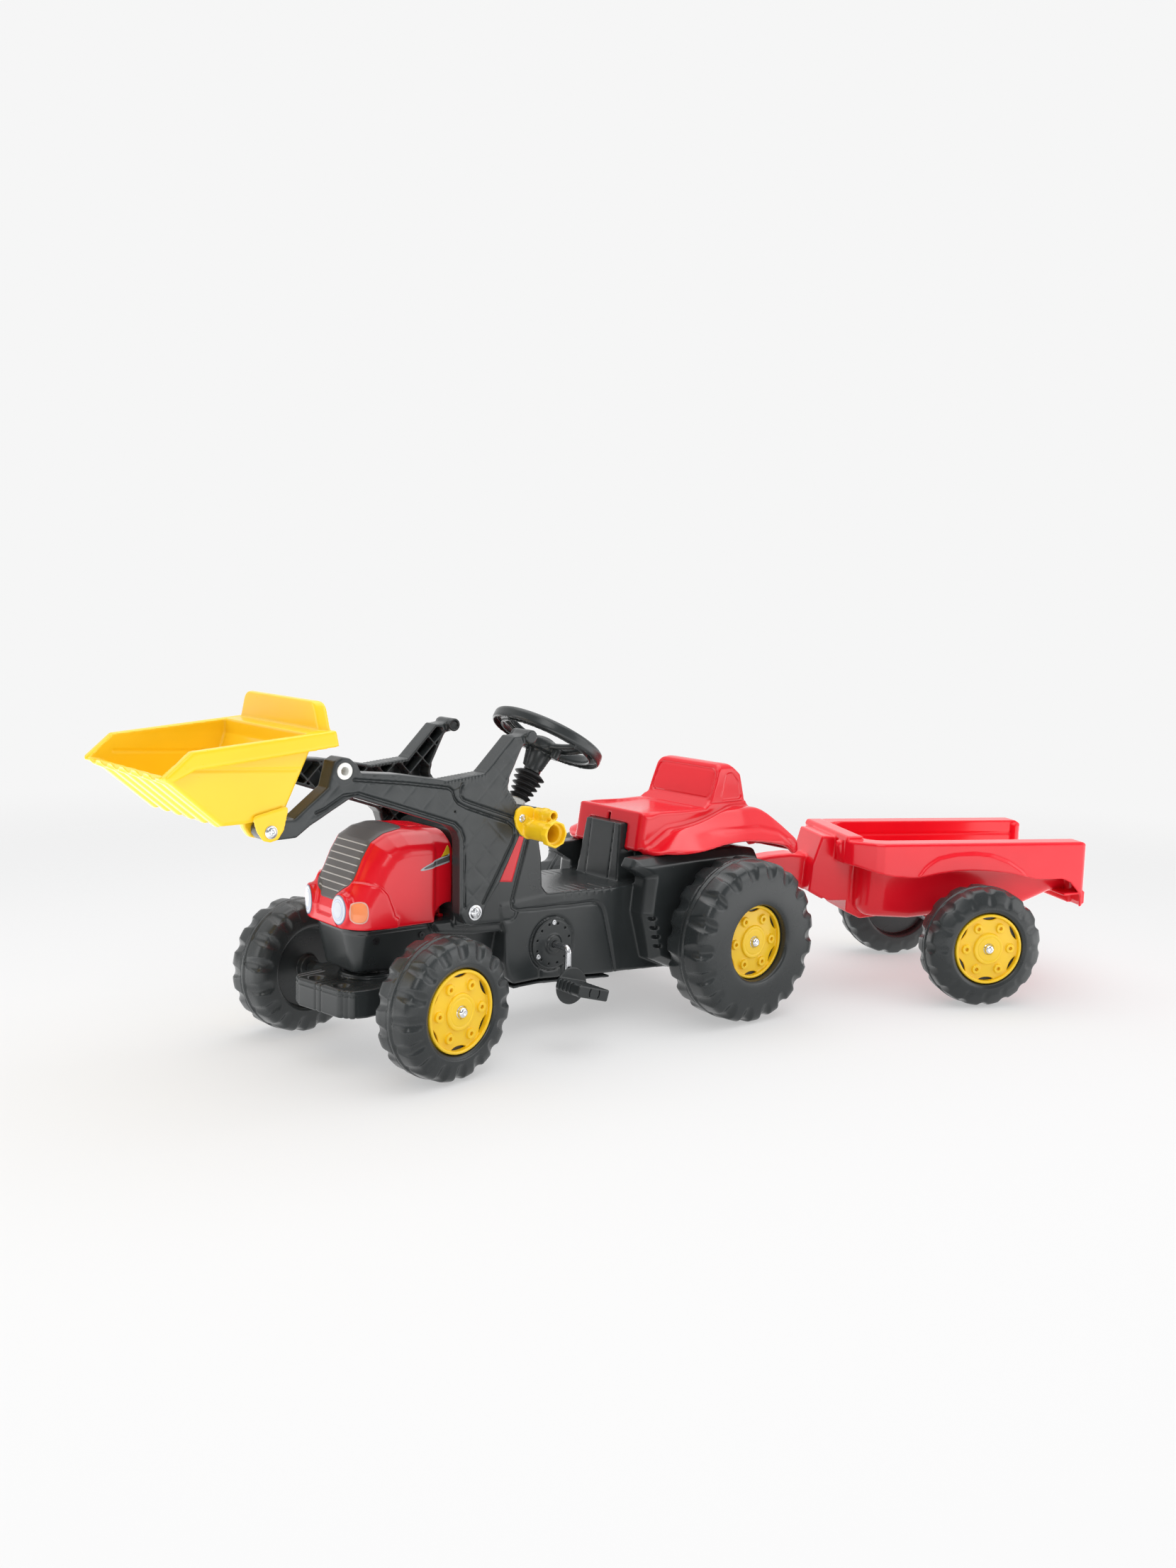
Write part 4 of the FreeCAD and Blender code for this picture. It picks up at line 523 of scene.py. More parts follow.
def cap_mesh(y1):
    """Dished wheel cover: raised rim, ring of bosses, raised middle, pointed-oval slots at the edge."""
    def f(X, Y, Z):
        r = np.hypot(X, Z)
        ang = np.arctan2(Z, X)
        a = ((ang / (math.pi / 3)) + 0.5) % 1.0 - 0.5
        face = y1 + 4.0 + 1.2 * ss(52, 30, r)
        d = ext(r - 62.0, np.abs(Y - (face + y1) / 2) - (face - y1) / 2, 1.2)
        rim = ext(np.abs(r - 59.6) - 2.6, np.abs(Y - (y1 + 5.0)) - 5.0, 2.2)
        d = smin(d, rim, 2.0)
        mid = ext(r - 27.5, np.abs(Y - (y1 + 4.8)) - 4.6, 1.8)
        d = smin(d, mid, 1.6)
        d = d + groove(r - 21.5, 1.6, 0.7)
        px, pz = r * np.cos(a * math.pi / 3), r * np.sin(a * math.pi / 3)
        br = np.hypot(px - 41.5, pz)
        boss = ext(br - 8.0, np.abs(Y - (y1 + 4.6)) - 5.0, 1.4)
        d = smin(d, boss, 1.6)
        d = cut(d, ext(br - 3.1, np.abs(Y - (y1 + 9.0)) - 5.0, 0.5), 0.8)
        d = d + groove(br - 5.6, 1.2, 0.35) * (Y > y1 + 7.5)
        b = (ang / (math.pi / 3)) % 1.0 - 0.5
        qx, qz = r * np.cos(b * math.pi / 3), r * np.sin(b * math.pi / 3)
        # two arcs meet in points at the slot's ends
        lens = np.maximum(np.hypot(qx, qz) - 56.8, np.hypot(qx - 81.0, qz) - 30.0 - 0.0)
        d = cut(d, lens, 0.9)
        return cut(d, r - 9.6, 0.8)
    pos, quads = nets(f, (-65, y1 - 3, -65), (65, y1 + 13, 65), 0.95)
    return relax(pos, quads, 1), quads


def dome_mesh():
    """Push-on cap: flanged dome with a dimple, opening towards -Y."""
    prof = curve_pts([(6.2, -3.0), (9.4, -3.0), (9.8, -2.4), (9.6, -1.2), (8.6, -0.4), (8.3, 1.6), (7.4, 4.2), (5.6, 5.9), (3.8, 6.5),
                      (2.9, 6.2), (2.2, 5.2), (0.9, 4.9), (0.02, 4.9)], 4)
    prof = prof + [(0.02, 3.2), (5.0, 3.2), (6.2, 1.5)]
    pos, quads = lathe(prof, 40)
    return pos[:, [0, 2, 1]], quads[:, ::-1]


def wheel(kind, side, M, track, x, z, R, half, rec, body, tm, cm):
    s = 1 if side == "left" else -1
    P = M @ tr(x, s * track, z) @ (FLIP if s < 0 else Matrix.Identity(4))
    t = put("%s_tyre_%s_skin" % (kind, side), mesh_of("%s_tyre_%s_skin" % (kind, side), tm[0], tm[1], P), TYRE, body,
            ("%s_tyre_%s" % (kind, side),))
    c = put("%s_cap_%s_skin" % (kind, side), mesh_of("%s_cap_%s_skin" % (kind, side), cm[0], cm[1], P), YELLOW, body,
            ("%s_cap_%s" % (kind, side),))
    return P


rear_t = tyre_mesh("rear", 137.5, 47.0, 24.6, 18)
front_t = tyre_mesh("front", 106.65, 40.75, 12.8, 16)
trailer_t = tyre_mesh("trailer", 106.65, 40.75, 12.8, 16, 3.1)
rear_c = cap_mesh(47.0 - 24.6)
front_c = cap_mesh(40.75 - 12.8)
DOME = dome_mesh()


def domes(name, M, track, x, z, half, rec, body, node):
    pos, quads = [], []
    n = 0
    for s in (1, -1):
        P = M @ tr(x, s * (track + half - rec + 9.6), z) @ (FLIP if s < 0 else Matrix.Identity(4))
        A = np.array(P, float)
        pos.append(DOME[0] @ A[:3, :3].T + A[:3, 3])
        quads.append(DOME[1] + n)
        n += len(DOME[0])
    put(name, mesh_of(name, np.concatenate(pos), np.concatenate(quads), Matrix.Identity(4)), CHROME, body, (node,))


for side, body in (("left", "rear_axle"), ("right", "rear_wheel_right")):
    wheel("rear", side, M_T, 188.3, 0, 137.5, 137.5, 47.0, 24.6, body, rear_t, rear_c)
for side in ("left", "right"):
    wheel("front", side, M_F, 172.3, 0, 106.65, 106.65, 40.75, 12.8, "front_wheel_" + side, front_t, front_c)
    wheel("trailer", side, M_R, 192.5, -417.8, 106.65, 106.65, 40.75, 12.8, "trailer_wheel_" + side, trailer_t, front_c)
domes("rear_push_caps_skin", M_T, 188.3, 0, 137.5, 47.0, 24.6, "rear_axle", "rear_push_caps")
domes("front_push_caps_skin", M_F, 172.3, 0, 106.65, 40.75, 12.8, "front_axle", "front_push_caps")
domes("trailer_push_caps_skin", M_R, 192.5, -417.8, 106.65, 40.75, 12.8, "trailer", "trailer_push_caps")


# ---------------------------------------------------------------- bonnet
HOOD = [(430, 180), (684.5, 180), (684.5, 211), (686, 236), (681.5, 253), (672, 272), (663, 289), (652, 313), (638, 335), (617, 346.5), (593, 351), (545, 350),
        (514.6, 346), (430, 336)]


def hood_base(X, Y, Z):
    ay = np.abs(Y)
    ds = rpoly(X, Z, HOOD, 5.0)
    w = 84.0 - 9.0 * ss(600, 690, X) - 3.5 * ss(552, 544, X)
    side = (ay - w)
    d = smax(ds, side, 14.0)
    a = math.radians(36)
    shoulder = (ay - 51.0) * math.sin(a) + ds * math.cos(a)
    d = smax(d, shoulder, 10.0)
    # the strip down the middle stands a little proud
    d = d - 1.6 * ss(53.5, 50.0, ay) * ss(-14, -3, ds) * ss(560, 580, X)
    return d


def bonnet_outer(X, Y, Z):
    ay = np.abs(Y)
    d = hood_base(X, Y, Z)
    brow = np.hypot((ay - 44.5) / 0.82, Z - 241.0) - 31.0
    low = Z - 226.0
    side = np.maximum(rpoly(X, Z, [(616, 200), (620, 236), (630, 262), (642, 275), (660, 280), (700, 280), (700, 200)], 6.0), 46.0 - ay)
    reg = smin(smin(brow, low, 8.0), side, 10.0)
    reg = np.maximum(reg, 612.0 - X)
    panel = smax(d - 3.6, reg, 4.5)
    d = smin(d, panel, 1.5)
    # lamp pods turned a little outwards
    c, s = math.cos(math.radians(13)), math.sin(math.radians(13))
    lx, ly = (X - 676.0) * c + (ay - 44.5) * s, -(X - 676.0) * s + (ay - 44.5) * c
    pod = ext(np.hypot(ly / 0.74, Z - 239.6) * 0.87 - 21.8, np.abs(lx - 2.0) - 13.0, 4.0)
    d = smin(d, pod, 5.0)
    d = cut(d, np.maximum(np.hypot(X - 522.0, Z - 214.0) - 24.0, 58.0 - ay), 4.0)
    # flush catch on top
    d = d + groove(ext(np.abs(X - 545) - 14.0, np.abs(Y) - 20.0, 3.0), 1.6, 1.2) * (Z > 330)
    d = smax(d, 515.0 - X, 2.5)
    return smax(d, 211.0 - Z, 2.5)


def bonnet_sweep(D, ax):
    X, Y, Z = ax[0][:, None, None], ax[1][None, :, None], ax[2][None, None, :]
    D = np.maximum(D, -(D + 4.0))
    # open below and behind
    D = np.maximum(D, -np.maximum(np.maximum(np.abs(Y) - 70.0, Z - 219.0), span(X, 524.0, 668.0)))
    D = np.maximum(D, -np.maximum(np.maximum(np.abs(Y) - 68.0, span(Z, 216.0, 318.0)), X - 522.0))
    return D.astype(np.float32)


solid("bonnet_skin", bonnet_outer, (508, -94, 205), (697, 94, 358), 1.7, RED, "chassis", ("bonnet",), sweep=bonnet_sweep)

# printed films on the bonnet
top_line = curve_pts([(683.5, 249), (679, 260), (672, 272), (663, 289), (652, 313), (638, 335), (617, 346.5), (593, 351), (574, 351.5)], 8)
tl = np.array(top_line)
seg = np.r_[0, np.cumsum(np.hypot(*np.diff(tl, axis=0).T))]
TOTAL = seg[-1]


def strip_pt(s, y):
    """Point on the middle strip, s mm up from its foot, y across."""
    return np.stack([np.interp(s, seg, tl[:, 0]), y, np.interp(s, seg, tl[:, 1])], -1)


def strip_grid(s0, s1, n, m, ymax, foot=True):
    s = np.linspace(s0, s1, n)[:, None] + np.zeros((1, m))
    v = np.linspace(-1, 1, m)[None, :]
    w = ymax(s[:, :1]) * v
    crown = 0.0
    return strip_pt(s + crown, w + 0 * s)


def strip_w(s):
    foot = 16.0 + 30.0 * np.clip(s / 26.0, 0, 1) ** 0.8
    end = TOTAL - s
    top = np.where(end < 20, np.sqrt(np.clip(1 - ((20 - end) / 20.5) ** 2, 0, 1)), 1.0)
    return np.minimum(foot, 47.5 - 1.5 * np.clip((TOTAL - s) / TOTAL, 0, 1)) * np.maximum(top, 0.15)


patch("grille_film", bonnet_outer, strip_grid(0.0, TOTAL, 90, 40, strip_w), 0.45, GRILLE, "chassis")
for k in range(8):
    s0 = 13.0 + 11.0 * k
    wk = lambda s: strip_w(s) * 0.93
    patch("grille_line_%d" % k, bonnet_outer, strip_grid(s0, s0 + 2.0, 4, 44, wk), 0.8, LINES, "chassis")


def lamp_grid(sign, ru, rv, du=0.0):
    u, v = oval(0, 0, ru, rv, m=26)
    c, s = math.cos(math.radians(13)), math.sin(math.radians(13))
    y = 44.5 + (u + du) * c
    x = 692.0 - (u + du) * s
    return np.stack([x, sign * y, 239.6 + v], -1)


for sign, nm in ((1, "left"), (-1, "right")):
    patch("lamp_rim_" + nm, bonnet_outer, lamp_grid(sign, 16.4, 22.6), 0.45, LAMP_RIM, "chassis")
    patch("lamp_" + nm, bonnet_outer, lamp_grid(sign, 14.9, 21.0), 0.75, LAMP, "chassis")
    patch("lamp_ring_" + nm, bonnet_outer, lamp_grid(sign, 11.2, 16.2), 1.0, LAMP_CORE, "chassis")
    patch("lamp_core_" + nm, bonnet_outer, lamp_grid(sign, 8.2, 12.4), 1.25, LAMP, "chassis")
    for rr, mat, off, nm2 in ((1.0, AMBER_RIM, 0.45, "indicator_rim_"), (0.88, AMBER, 0.75, "indicator_")):
        u, v = oval(0, 0, 15.0 * rr, 16.5 * rr, m=24, power=2.8)
        ang = np.radians(52)
        g = np.stack([682.0 - (u + 12.0) * 0.78, sign * (68.0 + (u + 6.0) * 0.55), 238.0 + v], -1)
        patch(nm2 + nm, bonnet_outer, g, off, mat, "chassis")
    # side marking: pale pointed vent with a dark middle and a small wedge
    n, m = 30, 8
    t = np.linspace(0, 1, n)[:, None]
    v = np.linspace(-1, 1, m)[None, :]
    for scale, mat, off, nm3 in ((1.0, SILVER, 0.45, "vent_film_"), (0.55, GRILLE, 0.75, "vent_core_film_")):
        hw = 8.5 * scale * (t ** 0.6) * (1.0 - 0.25 * t) + 0.4
        tt = 1 - (1 - t) * (0.75 + 0.25 * scale)
        x = 575.0 - 54.0 * tt
        zc = 293.5 + 13.5 * tt
        patch(nm3 + nm, bonnet_outer, np.stack([x + 0 * v, sign * (90.0 + 0 * x + 0 * v), zc + hw * v], -1), off, mat, "chassis")
    x = 536.5 - 15.0 * t
    g = np.stack([x + 0 * v, sign * (88.0 + 0 * x + 0 * v), 309.5 + 24.0 * (t ** 1.2) * (v + 1) / 2 + 2.0 * t + 0.3 * v], -1)
    patch("wedge_film_" + nm, bonnet_outer, g, 0.45, YFILM, "chassis")


# ---------------------------------------------------------------- seat and mudguards
SEAT = [(148, 283), (138, 347.5), (100, 346.5), (46, 345), (-4, 346), (-20, 357), (-38, 408), (-44, 417), (-55, 420.5), (-70, 418), (-92, 399), (-106, 338),
        (-112, 300), (-110, 282)]
FENDER = curve_pts([(134, 282.5), (124, 287), (100, 301), (73, 316), (33, 332), (-10, 341), (-60, 345), (-100, 343.5), (-130, 322), (-159.5, 289.4), (-176, 265.5)], 4) + \
    curve_pts([(-147, 264), (-120, 281), (-56, 293), (0, 293.5), (61, 287.5), (105, 283), (122, 281.5)], 4)
WING = [(147, 50), (147, 82)] + curve_pts([(138, 98), (126, 124), (105, 150), (80, 161.5), (48, 165.5), (0, 165.5)], 4) + [(-120, 165.5), (-158, 160), (-176, 148), (-176, 50)]


def seat_outer(X, Y, Z):
    ay = np.abs(Y)
    d2 = rpoly(X, Z, SEAT, 4.0)
    half = 87.0 - np.clip(Z - 344.0, 0, 80) * 0.10
    body = ext(d2, ay - half, 5.0 + 7.0 * ss(96, 126, X))
    # round top corners of the backrest
    back = np.hypot(np.maximum(ay - 61.0, 0), np.maximum(Z - 398.5, 0)) - 22.0
    body = smax(body, np.where(Z > 352, back, -20.0), 5.0)
    # dished pan behind a low front lip
    pan = rpoly(X, Y, [(2, -68), (60, -75), (128, -76), (128, 76), (60, 75), (2, 68)], 16.0)
    floor_z = 340.0 + 3.2 * np.clip((X - 62.0) / 65.0, -1, 1) ** 2 + 2.0 * (ay / 76.0) ** 2
    body = cut(body, np.maximum(pan, floor_z - Z), 3.0)
    # mudguard: crest falling to the front, outer face leaning in towards the crest
    f3 = rpoly(X, Z, FENDER, 3.0)
    k = 0.85 + 1.1 * ss(-70, 90, X)
    plan = rpoly(X, ay, WING, 12.0)
    outer = (plan + k * np.clip(Z - 289.0, -20, 90)) / np.sqrt(1.0 + k * k)
    outer = smax(outer, plan, 5.0)
    wing = smax(f3, outer, 5.0)
    # flute along the outer face above its lower edge
    fl = line_d(X, Z, [(112, 287), (86, 299), (50, 307.5), (0, 313), (-80, 313), (-118, 304), (-146, 281)])
    wing = wing + groove(fl, 7.0, 1.5) * ss(112, 128, ay) * ss(60, 20, X)
    d = smin(body, wing, 18.0)
    panel = ext(rpoly(Y, Z + 0 * X, [(-77, 359), (77, 359), (72, 409), (-72, 409)], 13.0), np.abs(X + 29.0) - 60.0, 1.0)
    on = (Z > 350) * (X > -54)
    d = d + (groove(panel, 2.8, 2.2) + 1.8 * ss(0.6, -1.6, panel)) * on
    cheek = rpoly(X, Z, [(-43, 355), (-57, 402), (-72, 403), (-87, 386), (-96, 356)], 7.0)
    d = d + 1.8 * ss(0.8, -1.2, cheek) * (ay > 66)
    slot = np.maximum(rpoly(Y, Z, [(-50, 260), (-50, 325), (50, 325), (50, 260)], 4.0), 120.0 - X)
    d = cut(d, slot, 1.2)
    d = cut(d, np.maximum(np.maximum(np.abs(Y) - 3.0, np.abs(Z - 330.0) - 7.0), 120.0 - X), 0.8)
    return d


def seat_sweep(D, ax):
    c = np.minimum.accumulate(D[:, :, ::-1], axis=2)[:, :, ::-1]
    return np.maximum(D, -(c + 4.0))


solid("seat_mudguards_skin", seat_outer, (-184, -172, 256), (158, 172, 426), 1.8, RED, "chassis", ("seat_mudguards",), sweep=seat_sweep)

# ---------------------------------------------------------------- chassis
TUNNEL = [(-106, 112), (-60, 84), (72, 76.3), (198.6, 84.2), (254.4, 88.5), (349.9, 95.1),
          (398.6, 94), (411.6, 105.3), (417.8, 129.4), (419, 179.3), (430, 212), (432, 226), (336.7, 233.5), (150, 229), (-106, 229)]
BLOCK = [(136, 104), (159.5, 184), (152, 243), (185, 262), (176, 277), (90, 278), (-62, 278), (-98, 272), (-106, 258), (-106, 112), (-60, 84), (72, 76.3)]
DASH = [(330, 226), (346, 246), (349, 293), (354, 317), (354, 364), (381, 377), (402, 381), (507, 345), (514, 246), (514, 200), (424, 196), (400, 196)]
POD = [(326, 226), (322, 298), (306, 322), (304, 352), (320, 364), (372, 364), (372, 226)]
NOSE = [(408, 112), (440, 120), (560, 133), (663, 140), (678, 205), (676, 210.5), (514, 210.5), (420, 210.5)]
BAND = [(416, 180), (470, 182), (540, 192), (552, 210.5), (416, 210.5)]
PEDESTAL = [(166, 222), (153, 325), (120, 328), (-50, 328), (-50, 250), (100, 222)]
L1 = [(377.6, 327.5), (407.6, 224.4), (405.5, 217), (397.5, 213.0), (241.9, 208.0), (231.0, 204.9), (223.1, 197.9), (218.0, 186.4), (190.6, 85.1)]
L2 = [(520, 206), (463.7, 200.9), (409.8, 199.2), (401.4, 202.1), (398.0, 208.6), (397.6, 213)]
L3 = [(342, 310), (344.5, 288), (337, 240), (331, 236), (322, 236.5)]


def chassis_outer(X, Y, Z):
    ay = np.abs(Y)
    g = np.maximum(channel(line_d(X, Z, L1), 3.0, 2.9), channel(line_d(X, Z, L2), 2.7, 2.6))
    g = g + groove(np.hypot(X - 326, Z - 151) - 43.4, 2.4, 2.2)
    g = g + groove(line_d(X, Z, [(349, 112), (348.4, 92)]), 2.2, 1.8) + groove(line_d(X, Z, [(308, 112), (307.4, 90)]), 2.2, 1.8)
    behind = ss(199, 176, X) * ss(236, 222, Z)
    tun = ext(rpoly(X, Z, TUNNEL, 5.0), ay - (88.0 - g - 3.0 * behind), 4.5)
    # guard block ahead of the rear wheels: bevelled outer edge with four notches
    bl = rpoly(X, Z, BLOCK, 4.0)
    bl = smax(ext(bl, ay - 128.0, 3.0), (ay - 128.0) * 0.6 + (bl + 12.0) * 0.8, 3.0)
    for z in (128.0, 144.0, 160.0, 176.0):
        xe = 137.0 + (z - 104.0) * 0.294
        bl = cut(bl, rbox(X, ay, Z, (xe - 8.0, 126.0, z), (12.0, 7.0, 3.0), 1.2), 1.2)
    bl = cut(bl, rbox(X, Y, Z, (170, 0, 266), (46, 84, 37), 4.0), 2.0)
    d = smin(tun, bl, 3.0)
    # dash, with a step at its rear corner
    g2 = np.maximum(channel(line_d(X, Z, L1), 3.0, 2.9), channel(line_d(X, Z, L3), 2.7, 2.4))
    dash = ext(rpoly(X, Z, DASH, 6.0), ay - (86.5 - g2 - 7.0 * ss(325, 375, Z)), 5.0)
    d = smin(d, dash, 2.5)
    d = smin(d, ext(rpoly(X, Z, POD, 6.0), ay - 40.0, 8.0), 6.0)
    wn = 50.0 + 19.8 * np.clip((Z - 140.0) / 65.0, 0, 1)
    nose = rpoly(X, Z, NOSE, 3.0)
    nose = smax(nose, ay - wn, 9.0)
    nose = smax(nose, (ay - wn) * 0.6 + (X - 676.0) * 0.8 + 14.0, 8.0)
    nose = nose + groove(line_d(X, Z, [(408, 200), (676, 203)]), 2.2, 1.4) * (ay > 30)
    d = smin(d, nose, 3.0)
    d = smin(d, ext(rpoly(X, Z, BAND, 4.0), ay - 80.0, 4.0), 3.0)
    wp = 45.0 + 10.0 * np.clip((325.0 - Z) / 100.0, 0, 1)
    ped = smax(rpoly(X, Z, PEDESTAL, 3.0), ay - wp, 3.0)
    ped = ped + groove(np.abs(Y) - 30.0, 2.0, 1.2) * (X > 140)
    d = smin(d, ped, 4.0)
    # tread lines on the footplates
    foot = (Z > 222) * (Z < 240) * (X > 186) * (X < 330)
    for x in (206, 222, 238, 254, 270, 286, 302):
        d = d + groove(X - x, 2.2, 0.9) * foot * (ay > 44)
    return d


def chassis_sweep(D, ax):
    X, Y, Z = ax[0][:, None, None], ax[1][None, :, None], ax[2][None, None, :]
    D = np.maximum(D, -(D + 4.6))
    # open below, over the belly cover and behind it
    D = np.maximum(D, -np.maximum(np.maximum(np.abs(Y) - 80.0, Z - 106.0), span(X, -30.0, 394.0)))
    # the nose is open below, with room for the drag link's eye beside the post
    D = np.maximum(D, -np.maximum(np.maximum(np.abs(Y) - 44.0, Z - 143.0), span(X, 428.0, 652.0)))
    D = np.maximum(D, -np.maximum(np.maximum(np.abs(Y) - 47.9, np.abs(Z - 148.0) - 6.5), span(X, 560.0, 648.0)))
    # kingpin post, cross tube for the loader bolts, bearing web
    post = ext(np.hypot(X - 614.2, Y) - 20.0, span(Z, 134.0, 206.0), 1.5)
    tube = ext(np.hypot(X - 502, Z - 228) - 13.0, np.abs(Y) - 88.0, 1.5)
    web = rbox(X, Y, Z, (406, 0, 246), (34, 80, 6), 1.0)
    D = np.minimum(np.minimum(D, post), np.minimum(tube, web))
    D = np.maximum(D, -np.maximum(np.hypot(X - 614.2, Y) - 8.05, Z - 200.0))
    D = np.maximum(D, -(np.hypot(X - 502, Z - 228) - 6.05))
    D = np.maximum(D, -(np.hypot(X, Z - 137.5) - 12.1))
    D = np.maximum(D, -(np.hypot(X - 326, Z - 151) - 29.9))
    # way for the column
    t = math.radians(30)
    u = (X - 277) * math.cos(t) + (Z - 471) * math.sin(t)
    w = -(X - 277) * math.sin(t) + (Z - 471) * math.cos(t)
    D = np.maximum(D, -np.maximum(np.hypot(u, Y) - 12.6, w))
    return D.astype(np.float32)


solid("chassis_skin", chassis_outer, (-112, -134, 70), (684, 134, 388), 2.0, BLACK, "chassis", ("chassis_body",), sweep=chassis_sweep)

# red film on each side of the dash
for sign, nm in ((1, "left"), (-1, "right")):
    q = np.array([(386, 329), (396.5, 331), (433, 262), (407.5, 259)])
    t = np.linspace(0, 1, 24)[:, None]
    v = np.linspace(0, 1, 8)[None, :]
    a = q[0] * (1 - t)[..., None] + q[3] * t[..., None]
    b = q[1] * (1 - t)[..., None] + q[2] * t[..., None]
    xz = a * (1 - v)[..., None] + b * v[..., None]
    patch("dash_film_" + nm, chassis_outer, np.stack([xz[..., 0], sign * (90.0 + 0 * xz[..., 0]), xz[..., 1]], -1), 0.45, RFILM, "chassis")


# belly cover
def belly(X, Y, Z):
    B = [(200, 80.2), (254.4, 84.4), (349.9, 91.0), (398, 90.0), (398, 86.0), (350, 87.0), (254.4, 80.4), (200, 76.2)]
    d = ext(poly_sd(X, Z, B), np.abs(Y) - 84.0, 1.0)
    hump = ext(rpoly(X, Z, [(285, 90), (365, 92), (365, 84.0), (355, 78.0), (297, 74.0), (285, 78.0)], 2.0), np.abs(Y) - 40.0, 3.0)
    d = smin(d, hump, 3.0)
    for x in (225, 245, 265, 380):
        d = np.minimum(d, ext(np.abs(X - x) - 1.6, span(Z, 76.0 + (x - 200) * 0.07, 82.0 + (x - 200) * 0.07), 0.8) + 0.0 * Y + np.maximum(np.abs(Y) - 70.0, 0))
    return d


solid("belly_cover_skin", belly, (194, -88, 70), (404, 88, 96), 1.8, BLACK, "chassis", ("belly_cover",))


# crank covers
def cover(X, Y, Z):
    r = np.hypot(X, Z)
    ang = np.arctan2(Z, X)
    d = ext(r - 41.0, span(Y, 87.8, 91.8), 1.4)
    d = smin(d, ext(r - 13.5, span(Y, 88.0, 95.5), 2.0), 5.0)
    d = np.minimum(d, ext(np.abs(r - 24.0) - 5.6, span(Y, 80.0, 89.0), 0.5))
    a = ((ang / (math.pi / 6)) % 1.0) - 0.5
    hole = np.hypot(r * np.cos(a * math.pi / 6) - 33.0, r * np.sin(a * math.pi / 6)) - 1.9
    d = cut(d, np.maximum(hole, 88.6 - Y), 0.5)
    d = d + groove(r - 38.6, 1.2, 0.5) * (Y > 89)
    return np.maximum(d, 5.7 - r)


for sign, nm in ((1, "left"), (-1, "right")):
    P = M_T @ tr(326, 0, 151) @ (FLIP if sign < 0 else Matrix.Identity(4))
    solid("crank_cover_%s_skin" % nm, cover, (-44, 78, -44), (44, 98, 44), 0.9, BLACK, "chassis", ("crank_cover_" + nm,), M=P)


# ---------------------------------------------------------------- loader arms
ARM = [(840.7, 392.3), (849.8, 390.7), (855.7, 383.6), (855.7, 374.4), (849.8, 367.3), (843.0, 365.5), (801.5, 366.7), (780.2, 381.5), (720.9, 413.4), (711.3, 416.4),
       (545.4, 362.1), (535.6, 353.2), (530.4, 339.2), (528.1, 226.7), (519.0, 212.0), (505.0, 207.5), (490.0, 213.0),
       (478.0, 240.0), (457.5, 266.0), (420.1, 336.7), (424.9, 386.0), (444.4, 412.2), (441.4, 428.6),
       (415.5, 479.7), (420.0, 491.0), (435.3, 491.6), (488.5, 438.2), (556.4, 431.4), (565.9, 433.8), (637.3, 445.4), (700.0, 451.0),
       (706.0, 463.0), (718.2, 472.0), (732.5, 474.9), (743.4, 469.2), (752.6, 433.7), (804.7, 393.4), (829.5, 392.9)]
ARM_A = [(711.5, 441.5), (621.9, 431.0), (565.8, 422.3), (551.4, 419.7), (545.0, 414.9), (541.5, 405.0), (534.9, 396.4), (520.1, 388.6), (443.0, 360.9),
         (431.5, 351.4), (430.4, 341.4), (435.0, 327.9), (466.0, 275.0), (486.4, 240.5)]
ARM_B = [(528.0, 424.3), (529.8, 417.7), (529.6, 406.9), (525.3, 401.2), (513.8, 396.3), (433.0, 367.9)]
ARM_C = [(771.4, 399.0), (756.6, 404.5), (728.6, 420.5), (704.0, 421.8), (651.8, 404.5), (540.0, 367.0), (529.0, 356.7), (522.5, 341.8), (520.6, 281.6),
         (519.6, 238.6)]


